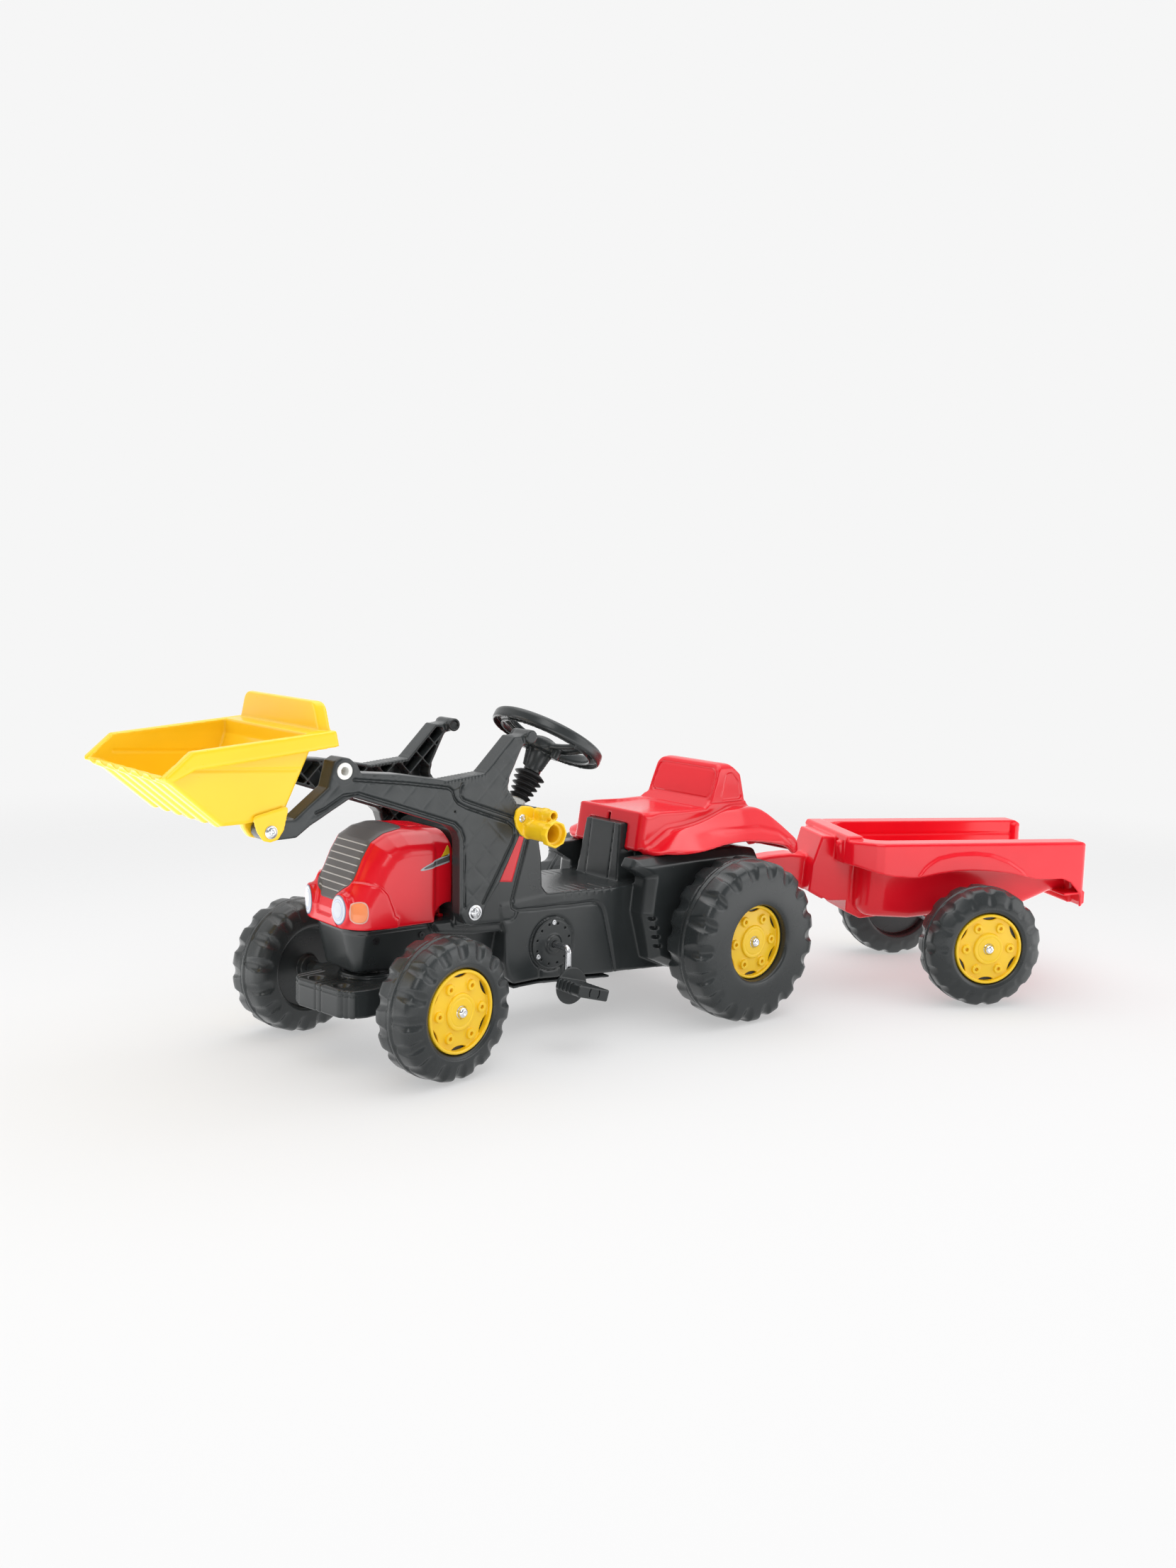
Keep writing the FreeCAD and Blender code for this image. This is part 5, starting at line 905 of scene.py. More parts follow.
def arm(X, Y, Z):
    d2 = rpoly(X, Z, ARM, 3.0)
    ga, gb, gc = line_d(X, Z, ARM_A), line_d(X, Z, ARM_B), line_d(X, Z, ARM_C)
    g = np.maximum(np.maximum(channel(ga, 3.1, 3.8), channel(gb, 2.8, 3.4)), channel(gc, 2.9, 3.6))
    # the band between the two upper lines is set back
    band = poly_sd(X, Z, [(541, 404), (535, 396), (520, 388.6), (443, 361), (433, 368), (514, 396), (525, 401), (530, 407), (529, 421), (545, 416)])
    g = g + 1.2 * ss(0.8, -0.8, band)
    # faint swells and sink lines over the ribs behind the face
    w = 0.25 * (np.sin((X + Z) * 0.105) * np.sin((X - Z) * 0.105)) - 0.3 * ss(2.6, 0.4, np.minimum(np.abs(((X + Z) % 46.0) - 23.0), np.abs(((X - Z) % 46.0) - 23.0)) * 0.7071)
    outer = 122.0 - g + w
    inner = 90.0 + 8.0 * ss(364, 346, Z) * ss(440, 466, X)
    d = ext(d2, np.maximum(Y - outer, inner - Y), 3.2)
    # hollow inner side with a lattice of ribs
    rib = np.minimum(np.abs(((X + Z) % 46.0) - 23.0), np.abs(((X - Z) % 46.0) - 23.0)) * 0.7071 - 1.5
    keep = np.minimum(np.minimum(np.hypot(X - 502, Z - 228) - 16.5, np.hypot(X - 727.6, Z - 455.1) - 14.5), np.hypot(X - 843, Z - 379) - 11.5)
    pocket = np.maximum(np.maximum(d2 + 5.0, Y - 115.0), np.maximum(-rib, -keep))
    pocket = np.maximum(pocket, 80.0 - Y)
    d = cut(d, pocket, 0.8)
    boss = ext(np.hypot(X - 727.6, Z - 455.1) - 18.5, span(Y, 96.0, 121.9), 2.5)
    d = smin(d, boss, 2.0)
    foot = ext(np.hypot(X - 502, Z - 228) - 17.0, span(Y, 90.0, 121.6), 2.0)
    d = smin(d, foot, 3.0)
    tip = ext(np.hypot(X - 843, Z - 379) - 11.5, span(Y, 90.0, 121.6), 1.5)
    d = smin(d, tip, 1.5)
    # horn with its round end
    knob = ext(np.hypot(X - 404, Z - 489.5) - 10.6, span(Y, 82.0, 126.0), 2.2)
    knob = cut(knob, np.maximum(np.hypot(X - 404, Z - 489.5) - 6.6, Y - 86.0), 0.6)
    neck = ext(rpoly(X, Z, [(398, 482), (406, 498), (428, 490), (421, 474)], 3.0), span(Y, 92.0, 120.0), 3.0)
    d = smin(smin(d, neck, 4.0), knob, 4.0)
    # grip ridges on the rear shoulder
    s = (X - 430.0) * 0.80 + (Z - 397.0) * 0.60
    d = d - 0.9 * (0.5 + 0.5 * np.cos(2 * np.pi * s / 5.2)) * ss(14.0, 5.0, line_d(X, Z, [(424.9, 386.0), (444.4, 412.2), (443, 422)])) * ss(88, 92, Y)
    s2 = X
    d = d - 0.8 * (0.5 + 0.5 * np.cos(2 * np.pi * s2 / 6.0)) * ss(10.0, 4.0, line_d(X, Z, [(492, 436), (552, 431)]))
    d = cut(d, np.hypot(X - 502, Z - 228) - 6.2, 0.5)
    d = cut(d, np.hypot(X - 727.6, Z - 455.1) - 9.05, 0.5)
    d = cut(d, np.hypot(X - 843, Z - 379) - 6.2, 0.5)
    # small moulding hole
    d = cut(d, np.maximum(np.hypot(X - 540.4, Z - 384.1) - 1.6, 118.0 - Y), 0.4)
    return d


MIRROR = Matrix.Diagonal((1, -1, 1, 1))
pos, quads = nets(arm, (388, 78, 202), (874, 130, 504), 1.5)
pos = relax(pos, quads, 1)
put("loader_arm_left_skin", mesh_of("loader_arm_left_skin", pos, quads), BLACK, "loader", ("loader_arm_left",))
put("loader_arm_right_skin", mesh_of("loader_arm_right_skin", pos, quads[:, ::-1], M_T @ MIRROR), BLACK, "loader", ("loader_arm_right",))


def grip(X, Y, Z):
    plate = [(421, 340), (430, 352), (434, 366), (431, 379), (420, 385), (404, 383), (386, 374), (384, 352), (392, 338), (410, 333)]
    d = ext(rpoly(X, Z, plate, 5.0), span(Y, 122.05, 127.5), 1.4)
    big = np.hypot(X - 402, Z - 348)
    small = np.hypot(X - 390, Z - 372)
    d = smin(d, ext(big - 15.5, span(Y, 124, 178), 1.5), 4.0)
    ang = np.arctan2(Z - 348, X - 402)
    a = ((ang / (math.pi / 4)) % 1.0 - 0.5) * math.pi / 4
    octo = big * np.cos(a) - 19.6
    d = smin(d, ext(octo, span(Y, 175, 189), 2.4), 2.5)
    d = smin(d, ext(small - 8.6, span(Y, 124, 166), 1.6), 3.5)
    d = smin(d, ext(np.hypot(X - 390, Z - 372) - 10.2, span(Y, 140, 150), 1.6), 2.0)
    # web between the two tubes and the screw lug
    web = ext(line_d(X, Z, [(402, 348), (390, 372)]) - 5.0, span(Y, 124, 158), 2.0)
    d = smin(d, web, 3.0)
    lug = ext(line_d(X, Z, [(421, 366), (398, 352)]) - 6.5, span(Y, 124, 136), 2.5)
    d = smin(d, lug, 3.0)
    d = cut(d, ext(np.hypot(X - 421, Z - 366) - 8.2, 128.0 - Y, 0.5), 1.0)
    d = cut(d, np.maximum(big - 13.0, 135.0 - Y), 1.0)
    d = cut(d, np.maximum(big - 16.6, 180.0 - Y), 1.2)
    d = cut(d, np.maximum(small - 5.0, 140.0 - Y), 0.8)
    d = cut(d, np.maximum(big - 2.0, 128.0 - Y), 0.6)
    return d


solid("loader_grip_skin", grip, (376, 118, 322), (440, 193, 392), 1.05, YELLOW, "loader", ("loader_grip",))


def eyelet(X, Y, Z):
    r = np.hypot(X, Z)
    d = np.minimum(ext(r - 9.0, span(Y, 90.0, 122.0), 0.5), ext(r - 12.0, span(Y, 121.0, 123.8), 1.0))
    return cut(d, r - 6.0, 1.0)


pos, quads = nets(eyelet, (-14, 87, -14), (14, 126, 14), 0.7)
pos = pos + np.array([727.6, 0, 455.1])
put("arm_eyelets_skin", mesh_of("arm_eyelets_skin", np.concatenate([pos, pos * np.array([1, -1, 1])]),
    np.concatenate([quads, quads[:, ::-1] + len(pos)])), WHITE, "loader", ("arm_eyelets",))


def bolt_mesh(r_head, h_head, r_shank, length, r_washer):
    """Domed bolt head with a cross recess and a washer; the shank runs towards -Y from y = 0."""
    def f(X, Y, Z):
        r = np.hypot(X, Z)
        dome = np.sqrt(r ** 2 + (Y + 12.0) ** 2) - (12.0 + h_head)
        head = smax(ext(r - r_head, span(Y, 0.0, h_head), 1.0), dome, 0.8)
        wash = ext(r - r_washer, span(Y, -0.2, 1.3), 0.5)
        d = np.minimum(np.minimum(head, wash), ext(r - r_shank, span(Y, -length, 1.0), 0.4))
        cross = np.minimum(np.maximum(np.abs(X) - 1.1, np.abs(Z) - r_head * 0.55), np.maximum(np.abs(Z) - 1.1, np.abs(X) - r_head * 0.55))
        return cut(d, np.maximum(cross, h_head * 0.45 - Y), 0.4)
    return nets(f, (-r_washer - 2, -length - 2, -r_washer - 2), (r_washer + 2, h_head + 2, r_washer + 2), 0.65)


def fasteners(name, items, body, node, r_head, h_head, r_shank, length, r_washer, mat=None, M=M_T):
    """items: (point, direction) with the head's seat at the point and the shank along the direction."""
    P0, Q0 = bolt_mesh(r_head, h_head, r_shank, length, r_washer)
    pos, quads, n = [], [], 0
    for p, d in items:
        q = Vector((0, -1, 0)).rotation_difference(Vector(d)).to_matrix()
        A = np.array(q, float)
        pos.append(P0 @ A.T + np.array(p, float))
        quads.append(Q0 + n)
        n += len(P0)
    put(name, mesh_of(name, np.concatenate(pos), np.concatenate(quads), M), mat or STEEL, body, (node,))


fasteners("loader_pivot_bolts_skin", [((502, 122.6, 228), (0, -1, 0)), ((502, -122.6, 228), (0, 1, 0))], "chassis", "loader_pivot_bolts", 9.0, 4.6, 6.0, 62.0, 12.0)
fasteners("bucket_pivot_bolts_skin", [((843, 126.7, 379), (0, -1, 0)), ((843, -126.7, 379), (0, 1, 0))], "loader_bucket", "bucket_pivot_bolts", 7.6, 4.2, 6.0, 52.0, 9.4)
fasteners("grip_screw_skin", [((421, 127.6, 366), (0, -1, 0))], "loader", "grip_screw", 5.4, 3.0, 3.0, 5.4, 6.4)
cs = [((326 + 35 * math.cos(math.radians(a)), 91.9 * t, 151 + 35 * math.sin(math.radians(a))), (0, -t, 0)) for t in (1, -1) for a in (90, 210, 330)]
fasteners("crank_cover_screws_skin", cs, "chassis", "crank_cover_screws", 4.2, 2.2, 2.0, 8.8, 4.3)

# ---------------------------------------------------------------- bucket
OUTER = [(757, 513.4), (960, 495), (1001.5, 459.5), (984, 452), (911, 390.3), (877, 391), (836, 396.5), (817, 408), (790, 470), (783, 487), (757, 492)]
INNER = [(1030, 470), (979, 456.6), (909.2, 394.8), (877, 395.4), (838, 400.8), (821.5, 411), (794.5, 471.5), (788, 490), (788, 560), (1030, 560)]
SKIRT = [(749, 514.0), (960, 494.8), (1001.0, 459.5), (985, 456.0), (955, 470.0), (783, 487), (744, 491.5)]


def bucket(X, Y, Z):
    ay = np.abs(Y)
    # ribs run down the sloping floor to the lip
    wave = np.tanh(1.8 * np.cos(2 * np.pi * Y / 40.0))
    rise = 2.6 * wave * ss(893, 912, X) * ss(118, 104, ay)
    Zw = Z - rise
    half = 127.6 - np.clip(492.0 - Z, 0, 110) * 0.075
    d = ext(rpoly(X, Zw, OUTER, 3.0), ay - half, 6.0)
    cav = ext(poly_sd(X, Zw, INNER), ay - (half - 4.2), 4.0)
    d = cut(d, cav, 1.2)
    # rear ledge is a lip, open below
    d = cut(d, ext(poly_sd(X, Z, [(752, 470), (752, 508.6), (782.6, 506.4), (782.6, 486), (775, 470)]), ay - 124.0, 1.0), 0.8)
    # ledge line inside the back and the sides
    d = d + groove(line_d(X, Z, [(800, 462), (960, 470)]), 3.0, 1.0) * (ay > 110) * (ay < 126.5)
    # outward flange with its turned-down skirt
    fl = ext(rpoly(X, Z, SKIRT, 2.0), span(ay, 125.5, 138.0), 3.0)
    under = ext(poly_sd(X, Z, [(740, 440), (746, 495), (753, 509.6), (957, 491.0), (991, 461.5), (990, 440)]), span(ay, 127.5, 134.6), 1.0)
    fl = cut(fl, under, 1.0)
    d = smin(d, fl, 1.6)
    # tall back plate with round corners
    e = 0.9 * np.clip(766.5 - X, 0, 14)
    PL = [(-118.5, 490), (-117, 512), (-101, 552.3), (101, 552.3), (117, 512), (118.5, 490)]
    pl = rpoly(np.maximum(ay - e, 0) + 0 * Z, Z + 0 * X, PL, 19.0)
    plate = smax(pl, span(X, 753.0, 766.5), 3.0)
    plate = np.maximum(plate, 500.0 - Z)
    # open behind
    ph = rpoly(np.maximum(ay - 0.9 * np.clip(762.9 - X, 0, 14), 0) + 0 * Z, Z + 0 * X, PL, 19.0) + 3.8
    plate = cut(plate, np.maximum(ph, np.maximum(X - 762.9, 513.0 - Z)), 0.8)
    d = smin(d, plate, 2.0)
    # hinge lugs
    lug = ext(rpoly(X, Z, [(819, 412), (823, 380), (832, 367.5), (843, 364.8), (854, 367.5), (863, 380), (868, 400)], 4.0), span(ay, 74.2, 87.8), 2.0)
    d = smin(d, lug, 3.0)
    ear = ext(rpoly(X, Z, [(815, 414), (823, 380), (832, 367.5), (843, 364.8), (854, 367.5), (863, 380), (870, 402)], 5.0), span(ay, 122.5, 126.6), 1.2)
    d = smin(d, ear, 2.0)
    for y in (-60.0, 0.0, 60.0):
        web = ext(rpoly(X, Z, [(800, 440), (822, 405), (880, 388), (880, 394), (830, 404), (806, 450)], 1.0), np.abs(Y - y) - 2.2, 1.0)
        d = smin(d, web, 2.0)
    d = cut(d, np.hypot(X - 843, Z - 379) - 6.05, 0.4)
    # scalloped lip
    d = np.maximum(d, X - (1001.0 - 4.5 * (0.5 - 0.5 * wave)))
    return d


solid("bucket_skin", bucket, (736, -142, 360), (1005, 142, 556), 1.75, YELLOW, "loader_bucket", ("bucket",))

# ---------------------------------------------------------------- trailer
LOW = [(-226, 266), (-227, 150), (-246, 138), (-326, 133), (-538, 152), (-600, 180), (-642, 184), (-642, 266)]
IN_LOW = [(-231, 330), (-231.5, 154), (-250, 142.2), (-326, 137.2), (-538, 156.2), (-600, 184.2), (-664, 188.2), (-664, 330)]
PLAN = [(-192, -100), (-192, 100), (-200, 116), (-236, 143), (-250, 148.4), (-646, 148.4), (-646, -148.4), (-250, -148.4), (-236, -143), (-200, -116)]
BOXP = [(-226, 279), (-166, 281.5), (-157, 251), (-150, 229), (-146, 178), (-204, 146), (-250, 125), (-300, 130), (-300, 142), (-236, 170)]
BAR = [(-176, 238), (-119, 243), (-84, 240), (-60, 236), (-10, 236), (-10, 214), (-60, 214), (-84, 208), (-146, 176), (-166, 180)]
ARCH = [(-300, 200), (-327, 237), (-340, 247), (-353, 254.6), (-385, 261), (-421.5, 262.5), (-455, 258.5), (-488.5, 246.5), (-515, 230), (-533, 212.7), (-540, 200)]
UNDER = [(-150, 150), (-150, 246), (-190, 238), (-209, 235.7), (-240, 227), (-267, 221.5), (-308, 218.3), (-330, 221.5), (-352, 225.7), (-385, 230), (-420, 231.5),
         (-455, 229.5), (-490, 225.4), (-520, 219), (-543.6, 213.2), (-597, 213.0), (-604, 211), (-615, 206), (-630, 190), (-636, 185), (-636, 150)]


def tub(X, Y, Z):
    ay = np.abs(Y)
    half = 112.0 - 14.0 * np.clip((222.0 - Z) / 85.0, 0, 1) ** 1.3
    # lower hull with wide rounds at its front corners
    hp = rpoly(X, Y * (112.0 / half), [(-226, -112), (-226, 112), (-700, 112), (-700, -112)], 46.0)
    low = smax(rpoly(X, Z, LOW, 10.0), hp, 20.0)
    arch = poly_sd(X, Z, ARCH)
    plan = rpoly(X, Y, PLAN, 12.0)
    # outer skirt, with a low arch raised over each wheel
    swell = 2.2 * ss(1.2, -1.6, arch) * ss(128, 136, ay)
    rim = ext(plan - swell, np.maximum(Z - 281.0, 160.0 - Z), 4.0)
    # rounded upper corners at the rear ends
    rim = np.maximum(rim, np.hypot(np.maximum(-632.0 - X, 0), np.maximum(Z - 267.0, 0)) - 14.0)
    rim = smax(rim, -poly_sd(X, Z, UNDER), 2.0)
    rim = np.maximum(rim, np.minimum(224.0 - Z, X + 228.0))
    under = np.maximum(np.maximum(plan + 4.2, Z - 276.4), np.maximum(half + 1.2 - ay, X + 222.0))
    rim = cut(rim, under, 0.8)
    front_in = np.maximum(np.maximum(plan + 4.2, Z - 276.4), np.maximum(-226.0 - X, 57.0 - ay))
    rim = cut(rim, front_in, 0.8)
    d = smin(low, rim, 2.5)
    edge = ext(rpoly(X, Z, [(-646.5, 189), (-640, 189), (-640, 166), (-646.5, 166)], 1.5), ay - 146.5, 1.5)
    floor = ext(rpoly(X, Z, [(-646.5, 189), (-604, 186), (-604, 181.5), (-646.5, 184.5)], 1.0), ay - 146.5, 1.0)
    d = smin(d, np.minimum(edge, floor), 1.5)
    # tongue box, step across the front, and one rib each side of the box
    box = ext(rpoly(X, Z, BOXP, 4.0), ay - (54.0 + 0.05 * (Z - 200.0)), 4.0)
    d = smin(d, box, 3.0)
    front = ext(rpoly(X, Z, [(-226, 288), (-196, 288), (-192, 280), (-196, 272), (-226, 272)], 3.0), ay - 106.0, 5.0)
    d = smin(d, front, 2.5)
    rib = ext(rpoly(X, Z, [(-228, 276), (-186, 277), (-184, 268), (-190, 240), (-228, 228)], 4.0), np.abs(ay - 80.0) - 9.0, 4.0)
    d = smin(d, rib, 3.0)
    ihp = rpoly(X, Y * (112.0 / half), [(-230.2, -107.8), (-230.2, 107.8), (-720, 107.8), (-720, -107.8)], 42.0)
    inner = smax(rpoly(X, Z, IN_LOW, 8.0), ihp, 15.0)
    d = cut(d, inner, 2.0)
    # ledge round the inside
    d = d + groove(Z - 256.0, 3.0, 1.6) * (np.abs(ihp) < 3.0) * (X < -232)
    # rounded posts at the rear ends of the walls
    post = ext(np.hypot(X + 636.0, ay - 112.0) - 10.0, span(Z, 186.0, 276.0), 5.0)
    d = smin(d, post, 3.0)
    bar = ext(rpoly(X, Z, BAR, 4.0), ay - 22.0, 5.0)
    eye = ext(np.hypot(X, Y) - 22.0, span(Z, 214.2, 235.8), 3.0)
    d = smin(d, smin(bar, eye, 2.0), 3.0)
    d = cut(d, np.hypot(X, Y) - 6.3, 0.5)
    # hollow under the tongue box
    d = cut(d, ext(poly_sd(X, Z, [(-221, 276), (-171, 277), (-161.5, 251), (-154.5, 229), (-151, 182), (-172, 166), (-205, 120), (-221, 120)]), ay - 50.0, 1.0), 1.0)
    # axle blocks
    blk = ext(rpoly(X, Z, [(-433.8, 95), (-401.8, 95), (-397.8, 150), (-437.8, 150)], 3.0), span(ay, 96.0, 112.0), 2.0)
    d = smin(d, blk, 3.0)
    d = cut(d, np.hypot(X + 417.8, Z - 106.65) - 6.1, 0.4)
    for x in (-300, -360, -480, -540):
        d = d + groove(X - x, 3.0, 0.8) * (ay < 90) * (Z < 190) * (Z > 136)
    return d


# the tub's red is painted light, a brighter copy of the red plastic
solid("trailer_tub_skin", tub, (-653, -154, 90), (26, 154, 294), 2.0, TUB_RED_PAINTED_LIGHT, "trailer", ("trailer_tub",), M=M_R)


# ---------------------------------------------------------------- front axle
def beam(X, Y, Z):
    ay = np.abs(Y)
    plan = rpoly(X, Y, [(-42, -70), (-30, -76), (62, -76), (84, -68), (95, -46), (95, 46), (84, 68), (62, 76), (-30, 76), (-42, 70)], 8.0)
    d = ext(plan, span(Z, 81.0, 124.5), 4.0)
    # pairs of upright lines in the front face
    up = groove(ay - 6.0, 2.2, 1.8) + groove(ay - 52.0, 2.2, 1.8) + groove(ay - 60.0, 2.2, 1.8)
    d = d + up * (X > 40)
    d = d + groove(Z - 116.0, 2.0, 1.0) * (X > 60)
    arms = ext(rpoly(X, Z, [(-28, 92), (-22, 86), (22, 86), (28, 92), (28, 118), (22, 123), (-22, 123), (-28, 118)], 3.0), ay - 100.0, 3.0)
    d = smin(d, arms, 5.0)
    hub = ext(np.hypot(X, Z - 106.65) - 11.5, ay - 137.0, 2.0)
    d = smin(d, hub, 5.0)
    disc = ext(np.hypot(X, Y) - 43.0, span(Z, 118.0, 131.4), 2.0)
    d = smin(d, disc, 2.0)
    d = d + groove(np.hypot(X, Y) - 36.0, 2.0, 1.0) * (Z > 126)
    # scoops in the top edge behind the front face
    for y in (-30.0, 30.0):
        d = cut(d, np.sqrt((X - 74.0) ** 2 + (Y - y) ** 2 + ((Z - 134.0) * 0.8) ** 2) - 15.0, 2.0)
    pin = ext(np.hypot(X, Y + 36.0) - 4.0, span(Z, 125.0, 160.0), 1.0)
    d = np.minimum(d, pin)
    d = cut(d, rbox(X, Y, Z, (47, 0, 92), (33, 68, 24), 3.0), 1.5)
    return cut(d, np.hypot(X, Y) - 9.0, 0.4)


solid("front_axle_beam_skin", beam, (-47, -140, 77), (99, 140, 163), 1.7, BLACK, "front_axle", ("front_axle_beam",), M=M_F)


# ---------------------------------------------------------------- steering
def steer(X, Y, Z):
    r = np.hypot(X, Y)
    ang = np.arctan2(Y, X)
    q = r - 86.0
    rim = ext(np.abs(q) - 10.2, np.abs(Z + 0.6) - 10.6, 7.0)
    rim = cut(rim, ext(np.abs(q) - 6.2, Z + 0.5 + 0 * q, 1.0), 1.0)
    a = ((ang - math.pi / 2) / (2 * math.pi / 3) + 0.5) % 1.0 - 0.5
    u, v = r * np.cos(a * 2 * math.pi / 3), r * np.sin(a * 2 * math.pi / 3)
    t = np.clip((u - 18.0) / 64.0, 0, 1)
    zc = -15.0 + 15.0 * t * t
    wid = 15.0 - 4.0 * t + 7.0 * ss(0.75, 1.0, t)
    spoke = ext(np.maximum(np.abs(v) - wid, np.maximum(u - 84.0, 10.0 - u)), np.abs(Z - zc) - 5.0, 3.0)
    spoke = cut(spoke, ext(np.maximum(np.abs(v) - wid + 4.5, np.maximum(u - 74.0, 26.0 - u)), Z - zc + 1.0, 1.0), 1.2)
    hub = ext(r - 26.0, span(Z, -26.0, -7.0), 4.0)
    d = smin(smin(rim, spoke, 5.0), hub, 6.0)
    neck = ext(r - (17.5 - 3.0 * ss(-30, -60, Z)), span(Z, -64.0, -20.0), 2.0)
    d = smin(d, neck, 4.0)
    # round bosses under the spokes and fins down the neck
    boss = ext(np.hypot(u - 31.0, v) - 8.0, span(Z, -33.0, -12.0), 1.8)
    d = smin(d, boss, 2.0)
    fin = ext(np.maximum(np.abs(v) - 2.0, np.maximum(u - 27.0 - (Z + 26) * 0.25, 8.0 - u)), span(Z, -58.0, -20.0), 0.8)
    d = smin(d, fin, 2.0)
    return cut(d, np.maximum(r - 6.05, Z + 14.0), 0.4)


solid("steering_wheel_skin", steer, (-100, -100, -68), (100, 100, 13), 1.35, BLACK, "steering", ("steering_wheel",), M=M_S)


def hubcap(X, Y, Z):
    r = np.hypot(X, Y)
    d = smax(ext(r - 20.0, span(Z, -9.0, -1.0), 2.5), np.sqrt(r ** 2 + (Z + 42.0) ** 2) - 41.5, 1.5)
    return d + groove(r - 15.0, 1.6, 0.8) * (Z > -6)


solid("steering_hub_cap_skin", hubcap, (-23, -23, -12), (23, 23, 2), 0.8, DARK, "steering", ("steering_hub_cap",), M=M_S)

# bellows: five soft folds, wider at the top
outp = []
for k in range(5):
    f0 = k / 5.0
    zc = -65.5 - 46.0 * f0
    ro = 26.0 - 9.5 * f0
    outp += [(ro - 6.5, zc), (ro - 1.4, zc - 3.4), (ro, zc - 4.6), (ro - 1.4, zc - 5.8)]
outp += [(14.2, -111.6), (14.0, -112.2)]
prof = curve_pts(outp, 3)
inner = [(max(r - 1.9, 7.6), z) for r, z in reversed(prof)]
pos, quads = lathe(prof + inner, 56)
put("column_bellows_skin", mesh_of("column_bellows_skin", pos, quads, M_C), RUBBER, "chassis", ("column_bellows",))


# ---------------------------------------------------------------- pedals
def pedal(X, Y, Z):
    d = ext(np.hypot(X, Z) - 30.0, span(Y, 138.0, 141.2), 1.2)
    d = smin(d, ext(rpoly(X, Z, [(-30, -9.5), (28, -9.5), (32.5, -6.5), (32.5, 6.5), (28, 9.5), (-30, 9.5)], 3.0), span(Y, 140.0, 198.0), 2.6), 2.0)
    for k in range(4):
        d = cut(d, rbox(X, Y, Z, (33.0, 149.5 + 9.0 * k, 0), (4.5, 2.4, 14.0), 0.8), 0.8)
        d = cut(d, rbox(X, Y, Z, (-4.0 , 149.5 + 9.0 * k, 12.0), (26.0, 1.3, 3.4), 0.6), 0.6)
        d = cut(d, rbox(X, Y, Z, (-4.0, 149.5 + 9.0 * k, -12.0), (26.0, 1.3, 3.4), 0.6), 0.6)
    for s in (1, -1):
        arc = np.maximum(np.abs(np.hypot(X + s * 3.0, Z) - 13.0) - 1.1, np.abs(Z) - 6.6)
        arc = np.maximum(arc, -s * X + 4.0)
        d = cut(d, np.maximum(arc, 195.0 - Y), 0.5)
    return np.maximum(d, np.minimum(5.7 - np.hypot(X, Z), 195.0 - Y)) if False else cut(d, np.maximum(np.hypot(X, Z) - 5.65, Y - 194.5), 0.3)


for sign, nm in ((1, "left"), (-1, "right")):
    P = M_T @ tr(326, 0, 151) @ tr(0, 0, -sign * 58.0) @ (rot(-16, "Y") if sign > 0 else FLIP @ rot(16, "Y"))
    solid("pedal_%s_skin" % nm, pedal, (-34, 135, -33), (36, 201, 33), 0.95, BLACK, nm + "_pedal", ("pedal_" + nm,), M=P)

# ---------------------------------------------------------------- CAD nodes that stay
LOOK = {"zinc_steel": STEEL, "black_plastic": BLACK, "red_plastic": RED, "yellow_plastic": YELLOW, "white_plastic": WHITE,
        "bright_cap": CHROME, "black_rubber": RUBBER, "wheel_black": TYRE}
SLOT = {s["node"]: s["material_slot"] for s in frame["record"]["subparts"]}
for name, o in NODES.items():
    o.data.materials.clear()
    o.data.materials.append(DARK_STEEL if name == "bonnet_screws" else LOOK[SLOT[name]])

# ---------------------------------------------------------------- stage
w = bpy.context.scene.world or bpy.data.worlds.new("World")
bpy.context.scene.world = w
w.use_nodes = True
nt = w.node_tree
for n in list(nt.nodes):
    nt.nodes.remove(n)
out = nt.nodes.new("ShaderNodeOutputWorld")
# pale backdrop behind the object, dim room on the camera's side, brighter overhead
co = nt.nodes.new("ShaderNodeTexCoord")
dot = nt.nodes.new("ShaderNodeVectorMath")
dot.operation = "DOT_PRODUCT"
dot.inputs[1].default_value = (-0.60, -0.73, 0.33)
nt.links.new(co.outputs["Generated"], dot.inputs[0])
ramp = nt.nodes.new("ShaderNodeValToRGB")
ramp.color_ramp.interpolation = "EASE"
e = ramp.color_ramp.elements
e[0].position, e[0].color = 0.42, (0.32, 0.32, 0.325, 1)
e[1].position, e[1].color = 0.70, (0.92, 0.92, 0.925, 1)
sh = nt.nodes.new("ShaderNodeMapRange")
sh.inputs["From Min"].default_value = -1.0
nt.links.new(dot.outputs["Value"], sh.inputs["Value"])
nt.links.new(sh.outputs[0], ramp.inputs["Fac"])
room = nt.nodes.new("ShaderNodeBackground")
nt.links.new(ramp.outputs["Color"], room.inputs["Color"])
plain = nt.nodes.new("ShaderNodeBackground")
plain.inputs["Color"].default_value = (0.9216, 0.9216, 0.9216, 1)
path = nt.nodes.new("ShaderNodeLightPath")
pick = nt.nodes.new("ShaderNodeMixShader")
nt.links.new(path.outputs["Is Camera Ray"], pick.inputs[0])
nt.links.new(room.outputs[0], pick.inputs[1])
nt.links.new(plain.outputs[0], pick.inputs[2])
nt.links.new(pick.outputs[0], out.inputs[0])

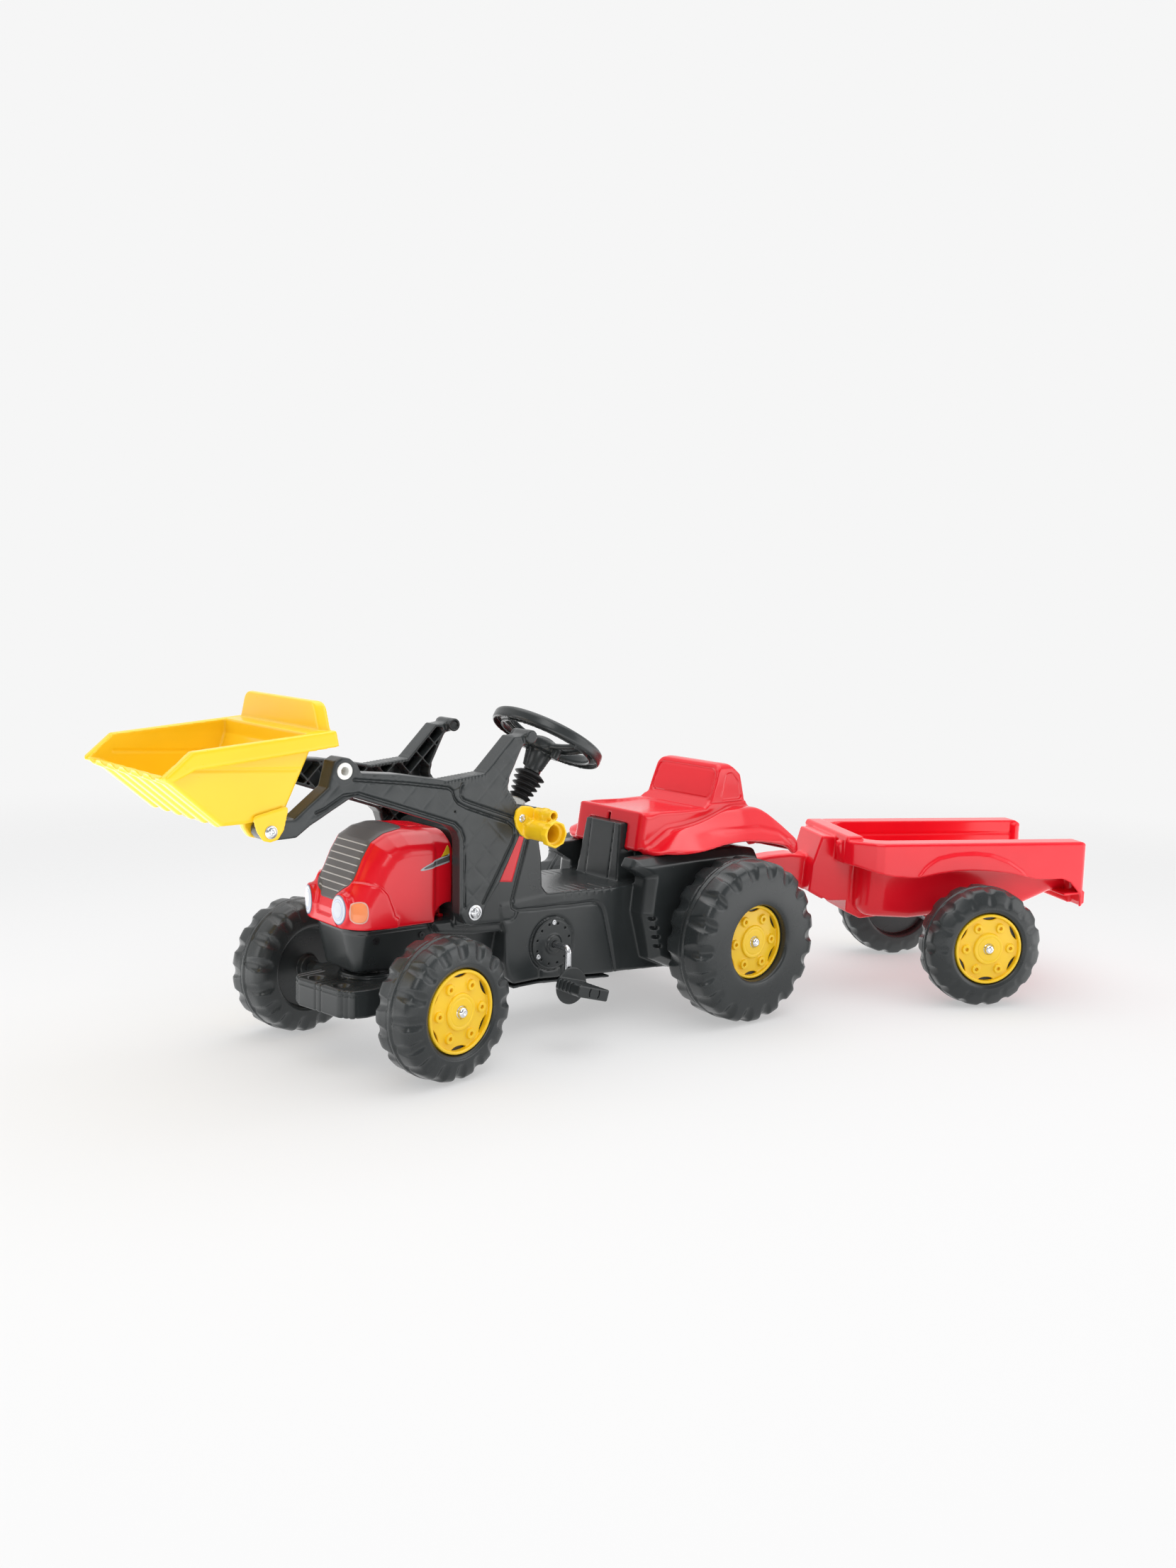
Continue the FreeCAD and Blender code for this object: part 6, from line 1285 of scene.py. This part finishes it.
fm = bpy.data.materials.new("floor")
fm.use_nodes = True
nt = fm.node_tree
for n in list(nt.nodes):
    nt.nodes.remove(n)
out = nt.nodes.new("ShaderNodeOutputMaterial")
dif = nt.nodes.new("ShaderNodeBsdfDiffuse")
dif.inputs["Color"].default_value = (0.375, 0.375, 0.375, 1)
even = nt.nodes.new("ShaderNodeEmission")
even.inputs["Color"].default_value = (0.44, 0.44, 0.44, 1)
both_ = nt.nodes.new("ShaderNodeAddShader")
nt.links.new(dif.outputs[0], both_.inputs[0])
nt.links.new(even.outputs[0], both_.inputs[1])
clear = nt.nodes.new("ShaderNodeBsdfTransparent")
mix = nt.nodes.new("ShaderNodeMixShader")
co = nt.nodes.new("ShaderNodeTexCoord")
ln = nt.nodes.new("ShaderNodeVectorMath")
ln.operation = "LENGTH"
nt.links.new(co.outputs["Object"], ln.inputs[0])
mr = nt.nodes.new("ShaderNodeMapRange")
mr.interpolation_type = "SMOOTHSTEP"
mr.inputs["From Min"].default_value = 1.3
mr.inputs["From Max"].default_value = 3.2
nt.links.new(ln.outputs["Value"], mr.inputs["Value"])
nt.links.new(mr.outputs[0], mix.inputs[0])
nt.links.new(both_.outputs[0], mix.inputs[1])
nt.links.new(clear.outputs[0], mix.inputs[2])
glow = nt.nodes.new("ShaderNodeEmission")
glow.inputs["Color"].default_value = (1.0, 1.0, 1.0, 1)
gr = nt.nodes.new("ShaderNodeMapRange")
gr.interpolation_type = "SMOOTHSTEP"
gr.inputs["From Min"].default_value = 0.45
gr.inputs["From Max"].default_value = 1.5
gr.inputs["To Min"].default_value = 0.75
gr.inputs["To Max"].default_value = 2.5
nt.links.new(ln.outputs["Value"], gr.inputs["Value"])
nt.links.new(gr.outputs[0], glow.inputs["Strength"])
lp = nt.nodes.new("ShaderNodeLightPath")
seen = nt.nodes.new("ShaderNodeMixShader")
nt.links.new(lp.outputs["Is Camera Ray"], seen.inputs[0])
nt.links.new(glow.outputs[0], seen.inputs[1])
nt.links.new(mix.outputs[0], seen.inputs[2])
nt.links.new(seen.outputs[0], out.inputs[0])
n = 64
ring = [(3.6 * math.cos(2 * math.pi * k / n), 3.6 * math.sin(2 * math.pi * k / n), 0.0) for k in range(n)]
me = bpy.data.meshes.new("floor")
me.from_pydata([(0, 0, 0)] + ring, [], [(0, 1 + k, 1 + (k + 1) % n) for k in range(n)])
me.materials.append(fm)
floor = bpy.data.objects.new("floor", me)
bpy.context.scene.collection.objects.link(floor)
floor.location = (0, 0, -0.0006)


def area(name, loc, target, size, energy, color=(1, 1, 1)):
    L = bpy.data.lights.new(name, "AREA")
    L.shape = "RECTANGLE"
    L.size, L.size_y = size
    L.energy = energy
    L.color = color
    o = bpy.data.objects.new(name, L)
    bpy.context.scene.collection.objects.link(o)
    o.location = loc
    o.rotation_mode = "QUATERNION"
    o.rotation_quaternion = (Vector(target) - Vector(loc)).to_track_quat("-Z", "Y")
    return o


def softbox(name, loc, target, size, radiance):
    return area(name, loc, target, size, radiance * math.pi * size[0] * size[1])


softbox("overhead", (0.0, 0.0, 2.7), (0, 0, 0), (3.6, 3.6), 1.55)
softbox("side_right", (-1.9, 2.5, 0.95), (-0.1, 0, 0.3), (1.9, 1.5), 2.2)
softbox("side_left", (2.9, -0.9, 1.1), (0.3, 0, 0.3), (1.6, 1.6), 2.0)
softbox("over_camera", (2.1, 2.3, 2.5), (0, 0, 0.25), (1.6, 1.6), 3.2)

# camera at the photograph's place
az, el, roll = 0.883, 0.131, 0.028
back = Vector((math.cos(az) * math.cos(el), math.sin(az) * math.cos(el), math.sin(el)))
fwd = -back
r = fwd.cross(Vector((0, 0, 1))).normalized()
u = r.cross(fwd)
r2 = r * math.cos(roll) + u * math.sin(roll)
u2 = -r * math.sin(roll) + u * math.cos(roll)
cam = bpy.data.cameras.new("camera")
cam.sensor_fit = "AUTO"
cam.sensor_width = 36.0
cam.lens = 2150.352 * 36.0 / 2212.0
cam.clip_start, cam.clip_end = 0.05, 60.0
c = bpy.data.objects.new("camera", cam)
bpy.context.scene.collection.objects.link(c)
T = Matrix((r2, u2, back)).transposed().to_4x4()
T.translation = (1.69246, 1.86207, 0.7240)
c.matrix_world = T
bpy.context.scene.camera = c
bpy.context.scene.view_settings.view_transform = "Standard"
